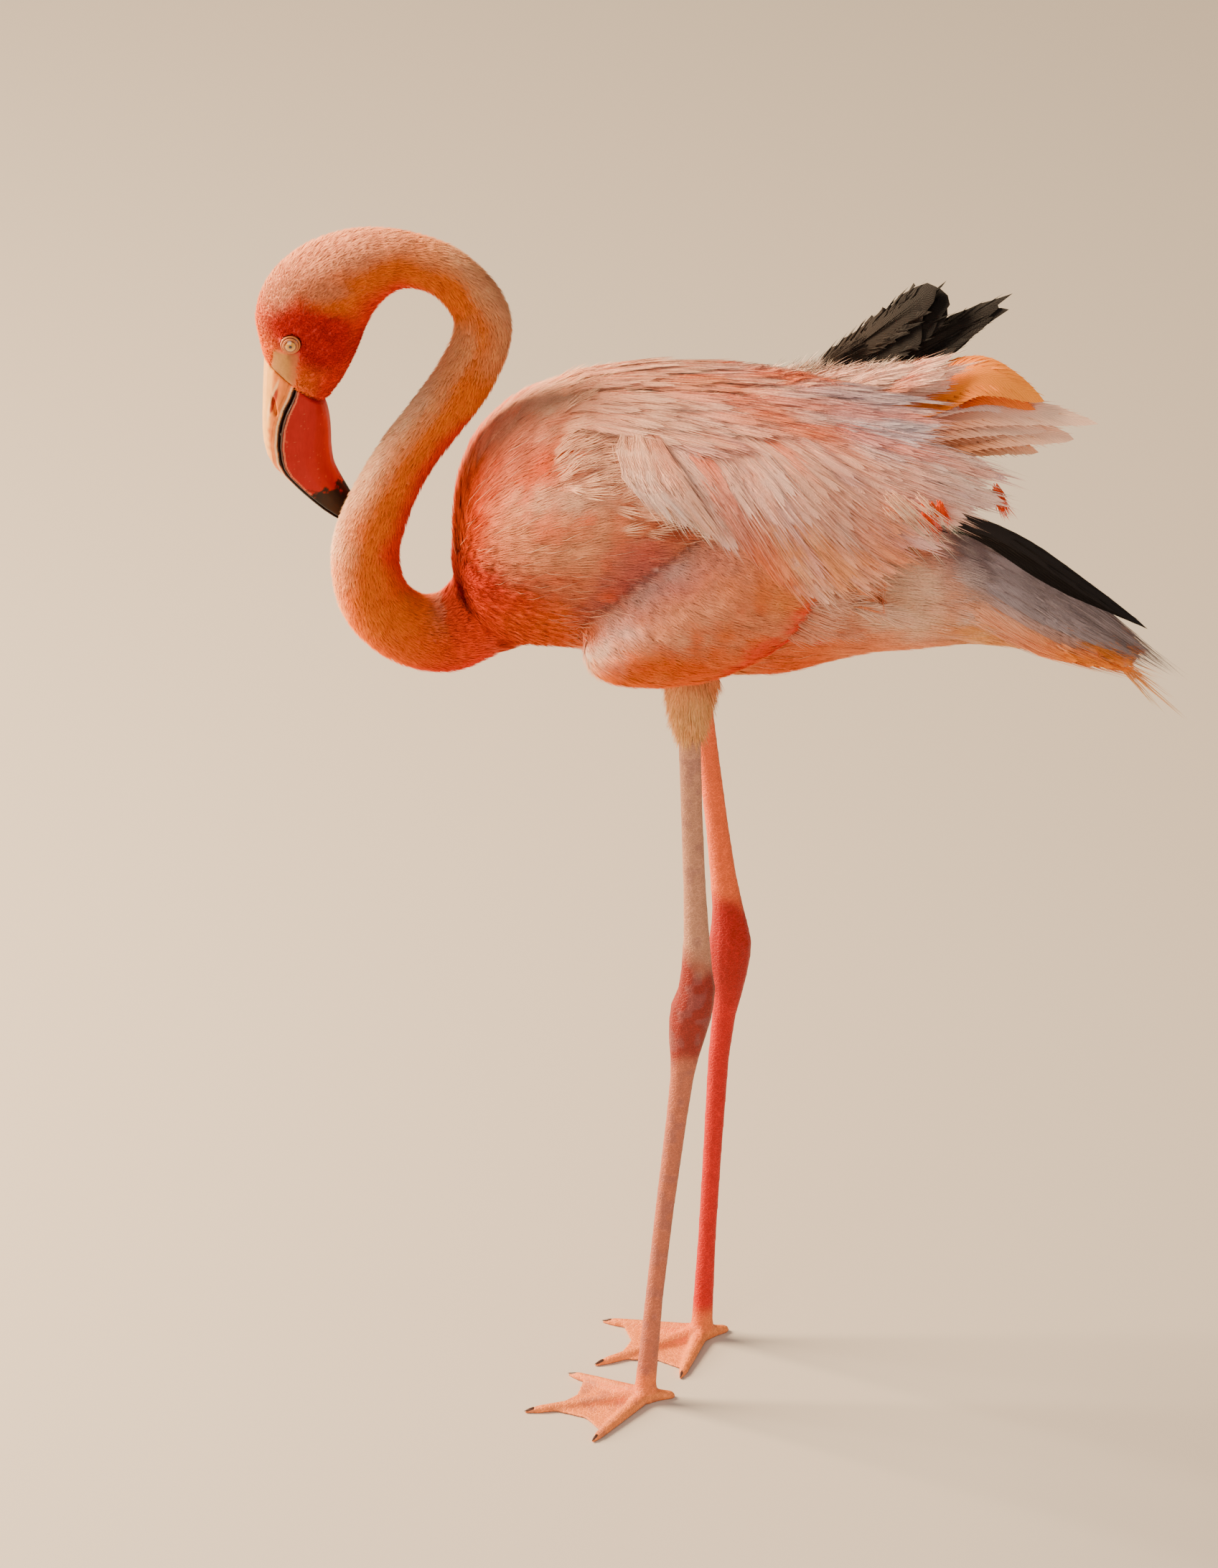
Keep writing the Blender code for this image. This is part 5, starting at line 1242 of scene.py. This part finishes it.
def upperBillTint(points):
    along, out, wide = billPlace(points, 0)
    rough, fleck = softNoise(points, 0.0035, 2) - 0.5, softNoise(points, 0.0012, 8)
    x, z = points[:, 0] - shift[0], points[:, 2] - shift[2]
    slitX, slitZ = billLook["slit"]
    sideways = x + slitX - 0.24 * (z - slitZ)
    slit = np.hypot(sideways / 0.0017, (z - slitZ) / 0.0112)
    return blendColours(
        linearColour("#e47a28"),
        "#f8b45c", ramp(out / wide + 0.2 * rough, 0.55, 0.80),
        "#e04a16", 0.8 * ramp(along + 0.1 * rough, 0.42, 0.62),
        "#fcc888", 0.8 * ramp(slit, 1.9, 1.3) * ramp(sideways, 0.0004, -0.0008),  # rim of the nostril's slit
        "#a01404", 0.9 * ramp(slit, 1.10, 0.75),
        "#8c2c10", 0.5 * ramp(np.abs(out - 0.0062) + 0.0008 * (rough + 0.5), 0.0010, 0.0004),  # groove
        "#fcd4a4", 0.85 * ramp(np.abs(out - 0.0034), 0.0010, 0.0003),
        "#2a120c", ramp(out + 0.0006 * rough, 0.0028, 0.0020),
        "#1d1512", ramp(along + 0.10 * rough + 0.03 * fleck, 0.68, 0.74))


def lowerBillTint(points):
    along, out, wide = billPlace(points, 4)
    rough, fleck = softNoise(points, 0.0035, 2) - 0.5, softNoise(points, 0.0012, 8)
    return blendColours(
        linearColour("#a80500"),
        # painted highlight: the red lightens towards the keel, where the light catches it
        "#dc3004", 0.8 * ramp(out / wide, 0.78, 1.0),
        "#f08050", 0.30 * ramp(fleck, 0.86, 0.95),
        "#f68c60", 0.7 * ramp(np.abs(out - 0.0022), 0.0007, 0.0002),
        "#2a120c", ramp(out + 0.0005 * rough, 0.0018, 0.0012),
        "#1d1512", ramp(along + 0.14 * rough + 0.05 * fleck, 0.74, 0.78))


# horn worn smooth along its fibres: a soft gloss and faint lines along the bill, 1 by 1.5 by 6 mm
billMaterial, tree, shader = newMaterial("keratin bill", {"Roughness": 0.38, "Specular IOR Level": 0.22})
place = addNode(tree, "TexCoord").outputs["Object"]
grain = addNode(tree, "Mapping", {"Vector": place, "Scale": (900.0, 700.0, 160.0)})
fibres = addNode(tree, "TexNoise", {"Vector": grain, "Scale": 1.0, "Detail": 4.0})
shade = addNode(tree, "MapRange", {"Value": fibres, "To Min": 0.80, "To Max": 1.12})
shadeAndLift(tree, shader, shade, fibres, 0.3, 0.0003)

for node, name, slot, tintOf in (("bill_upper", "upperBill", "bill_pale", upperBillTint),
                                 ("bill_lower", "lowerBill", "bill_red", lowerBillTint)):
    piece = smoothSkin([node], name, billLook["voxel"], billLook["smoothing"])
    points = readVectors(piece.data, "co")
    paintPoints(piece.data, tintOf(points) * (0.94 + 0.12 * softNoise(points, 0.0035, 2))[:, None])
    finishPiece(piece, billMaterial, slot, node)
print("bill made")


# eyes: pale yellow with a tiny pupil, in a ring of bare wrinkled skin
# lids are tori: radius, thickness and how far out from the eye's middle

eyeLook = {"radius": 0.0076, "irisReach": 0.0055,
           "lids": ((0.0049, 0.00058, 0.0056), (0.0061, 0.00072, 0.0042), (0.0044, 0.00030, 0.0061))}
irisStops = ((0.0, "#050403"), (0.19, "#050403"), (0.22, "#8a4a1c"), (0.30, "#cc8a30"), (0.60, "#e2a644"),
             (0.70, "#964210"), (0.80, "#4a1a0c"), (1.0, "#4a1a0c"))

# a wet film over the cornea: a clear coat that gives sharp lights
eyeMaterial, tree, shader = newMaterial("wet eye", {"Roughness": 0.06, "Coat Weight": 1.0,
                                                    "Coat Roughness": 0.02})
place = addNode(tree, "TexCoord").outputs["Object"]
centred = addNode(tree, "VectorMath", {0: place, 1: tuple(eyeSpots[0])}, operation="SUBTRACT")
flat = addNode(tree, "VectorMath", {0: centred, 1: (1.0, 0.0, 1.0)}, operation="MULTIPLY")
reach = addNode(tree, "VectorMath", {0: flat}, operation="LENGTH").outputs["Value"]
rays = addNode(tree, "TexNoise", {"Vector": place, "Scale": 1500.0, "Detail": 3.0})
waver = addNode(tree, "Math", {0: rays, 1: 0.0004, 2: reach}, operation="MULTIPLY_ADD")
scaled = addNode(tree, "Math", {0: waver, 1: 1 / eyeLook["irisReach"]}, operation="MULTIPLY")
bands = addNode(tree, "ValToRGB", {0: scaled})
while len(bands.color_ramp.elements) < len(irisStops):
    bands.color_ramp.elements.new(0.5)
for element, (position, colour) in zip(bands.color_ramp.elements, irisStops):
    element.position, element.color = position, (*linearColour(colour), 1.0)
tree.links.new(bands.outputs[0], shader.inputs["Base Color"])


# two tints mixed by a noise, for small bare parts
def mottledMaterial(name, roughness, noiseSettings, dark, light):
    material, tree, shader = newMaterial(name, {"Roughness": roughness})
    place = addNode(tree, "TexCoord").outputs["Object"]
    noise = addNode(tree, "TexNoise", {"Vector": place, **noiseSettings})
    tint = addNode(tree, "Mix", {0: noise, 6: (*linearColour(dark), 1.0), 7: (*linearColour(light), 1.0)},
                   data_type="RGBA")
    tree.links.new(tint.outputs[2], shader.inputs["Base Color"])
    return material, tree, shader, noise


# bare skin in folds of half a millimetre: a broken, low sheen
foldSettings = {"Scale": 1800.0, "Detail": 3.0}
lidMaterial, tree, shader, folds = mottledMaterial("wrinkled eyelid skin", 0.5, foldSettings, "#b04a10",
                                                   "#dc8a40")
bump = addNode(tree, "Bump", {"Height": folds, "Strength": 0.5, "Distance": 0.0003})
tree.links.new(bump.outputs[0], shader.inputs["Normal"])

for outward, spot, name in ((-1, eyeSpots[0], "left"), (1, eyeSpots[1], "right")):
    turned = (math.pi / 2, 0, 0)
    bpy.ops.mesh.primitive_uv_sphere_add(segments=64, ring_count=40, radius=eyeLook["radius"], location=spot,
                                         rotation=turned)
    bpy.ops.object.transform_apply(location=True, rotation=True, scale=True)
    bpy.ops.object.shade_smooth()
    eyeball = bpy.context.object
    eyeball.name = eyeball.data.name = "eyeball" + name.capitalize()
    finishPiece(eyeball, eyeMaterial, "eye_yellow", "eye_" + name)
    rings = []
    for major, minor, out in eyeLook["lids"]:
        middle = spot + np.array((0, outward * out, 0))
        bpy.ops.mesh.primitive_torus_add(major_segments=72, minor_segments=12, major_radius=major,
                                         minor_radius=minor, location=middle, rotation=turned)
        bpy.ops.object.transform_apply(location=True, rotation=True, scale=True)
        rings.append(bpy.context.object)
    lids = joinAll(rings, "eyelids" + name.capitalize())
    bpy.ops.object.shade_smooth()
    finishPiece(lids, lidMaterial, "plumage")
print("eyes made")


# legs: pink on the near side and redder on the far one, with dark red ankles; the difference between the legs
# is painted light and shade, the far leg painted redder in the light and the near one paler and duller in shade

legLook = {
    "voxel": 0.0013, "smoothing": 6,
    "left": {"shin": "#bc8468", "shank": "#b8664c", "ankle": "#860e06", "inward": -1.0, "toeTurn": 13.0,
             "heel": -0.0500},
    "right": {"shin": "#ec6630", "shank": "#c81002", "ankle": "#a80c02", "inward": 1.0, "toeTurn": 30.0,
              "heel": -0.0110},
}
toes = {"inner": (0.064, 46.0), "middle": (0.086, 0.0), "outer": (0.072, -46.0)}  # length and turn of each

# dry scutes about 3 mm wide with pale grooves between them: a low, broken sheen
legMaterial, tree, shader = newMaterial("scaly leg skin", {"Roughness": 0.52, "Specular IOR Level": 0.3})
place = addNode(tree, "TexCoord").outputs["Object"]
flatter = addNode(tree, "Mapping", {"Vector": place, "Scale": (1.0, 1.0, 1.5)})
scutes = addNode(tree, "TexVoronoi", {"Vector": flatter, "Scale": 330.0}, feature="DISTANCE_TO_EDGE")
groove = addNode(tree, "MapRange", {"Value": scutes, "From Max": 0.14, "To Min": 0.0, "To Max": 1.0})
blotch = addNode(tree, "TexNoise", {"Vector": place, "Scale": 190.0, "Detail": 4.0})
paleGroove = addNode(tree, "MapRange", {"Value": groove, "To Min": 1.30, "To Max": 0.92})
grain = addNode(tree, "MapRange", {"Value": blotch, "To Min": 0.72, "To Max": 1.22})
both = addNode(tree, "Math", {0: paleGroove, 1: grain}, operation="MULTIPLY")
shadeAndLift(tree, shader, both, groove, 0.55, 0.0005)

# worn horn: darker and smoother than the bill
clawMaterial = mottledMaterial("dark horn claw", 0.35, {"Scale": 900.0}, "#2a1a16", "#6a4438")[0]

for name in ("left", "right"):
    look = legLook[name]
    nodes = [f"leg_{name}_{part}" for part in ("shin", "shank", "foot")]
    leg = smoothSkin(nodes, "leg" + name.capitalize(), legLook["voxel"], legLook["smoothing"])
    points = readVectors(leg.data, "co")
    z, patch = points[:, 2], 0.02 * (softNoise(points, 0.010, 4) - 0.5)
    paintPoints(leg.data, blendColours(
        linearColour(look["shank"]),
        look["shin"], ramp(z + patch, 0.325, 0.350),
        look["ankle"], 0.9 * ramp(np.abs(z - 0.307 + patch), 0.046, 0.026),
        "#ee7c40", 0.9 * ramp(z, 0.030, 0.014),
        "#f6924e", 0.6 * ramp(z, 0.0085, 0.0060),  # webs
        "#8c5a5a", 0.35 * ramp(softNoise(points, 0.006, 6), 0.55, 0.80) * (name == "left")))
    finishPiece(leg, legMaterial, "leg_skin", *nodes)

    heel = Vector((look["heel"] + offset.x, 0.045 * look["inward"] + offset.y, 0.0))
    claws = []
    for length, turn in toes.values():
        a = math.radians(look["toeTurn"] + look["inward"] * turn)
        ahead = Vector((-math.cos(a), -math.sin(a), 0.0))
        middle = heel + ahead * (length - 0.0042) + Vector((0, 0, 0.0026))
        dipped = (ahead + Vector((0, 0, -0.18))).to_track_quat("Z", "X").to_euler()
        bpy.ops.mesh.primitive_cone_add(vertices=14, radius1=0.0021, radius2=0.0002, depth=0.0095,
                                        location=middle, rotation=dipped)
        bpy.ops.object.transform_apply(location=True, rotation=True, scale=True)
        claws.append(bpy.context.object)
    clawSet = joinAll(claws, "claws" + name.capitalize())
    applyModifier(clawSet, "SUBSURF", levels=1)
    bpy.ops.object.shade_smooth()
    finishPiece(clawSet, clawMaterial, "leg_skin")
print("legs made")


# floor, light and camera

bpy.ops.mesh.primitive_plane_add(size=16.0, location=(0.0, 0.0, 0.0))
floor = bpy.context.object
floor.name = "floor"
floorMaterial, tree, shader = newMaterial("matt painted floor", {"Roughness": 0.85})  # no reflections
shader.inputs["Base Color"].default_value = (*linearColour("#ccc4b8"), 1.0)
floor.data.materials.append(floorMaterial)

world = bpy.data.worlds.new("studio")
bpy.context.scene.world = world
world.use_nodes = True
world.node_tree.nodes["Background"].inputs["Color"].default_value = (*linearColour("#f4e9dc"), 1.0)
world.node_tree.nodes["Background"].inputs["Strength"].default_value = 0.29


def addLamp(name, place, aim, size, power, colour):
    lamp = bpy.data.lights.new(name, "AREA")
    lamp.size, lamp.energy, lamp.color = size, power, linearColour(colour)
    obj = bpy.data.objects.new(name, lamp)
    obj.location = place
    obj.rotation_euler = (Vector(aim) - Vector(place)).to_track_quat("-Z", "Y").to_euler()
    bpy.context.scene.collection.objects.link(obj)


addLamp("key", (-2.3, 0.7, 2.3), (0, 0, 0.6), 1.3, 300.0, "#ffdfb8")
addLamp("rim", (-2.6, 0.4, 0.9), (0, 0, 0.55), 0.8, 100.0, "#ffe2be")
addLamp("fill", (-0.9, -2.8, 1.7), (0, 0, 0.55), 2.2, 56.0, "#ffeedc")
addLamp("side", (2.2, -1.2, 1.4), (0, 0, 0.6), 1.8, 18.0, "#fff6f0")

frameWide, frameHigh = view["frame"]
aim = offset + Vector(((frameWide / 2 - view["column"]) / view["perMetre"], 0.0,
                       (view["floorRow"] - frameHigh / 2) / view["perMetre"] / math.cos(view["angle"])))
away = Vector((0.0, -math.cos(view["angle"]), math.sin(view["angle"])))
camera = bpy.data.objects.new("camera", bpy.data.cameras.new("camera"))
camera.location = aim + away * view["distance"]
camera.rotation_euler = (-away).to_track_quat("-Z", "Y").to_euler()
camera.data.sensor_width = 36.0
camera.data.lens = camera.data.sensor_width * view["distance"] / (frameHigh / view["perMetre"])
camera.data.clip_end = 200.0
bpy.context.scene.collection.objects.link(camera)
bpy.context.scene.camera = camera
print("floor, light and camera set")
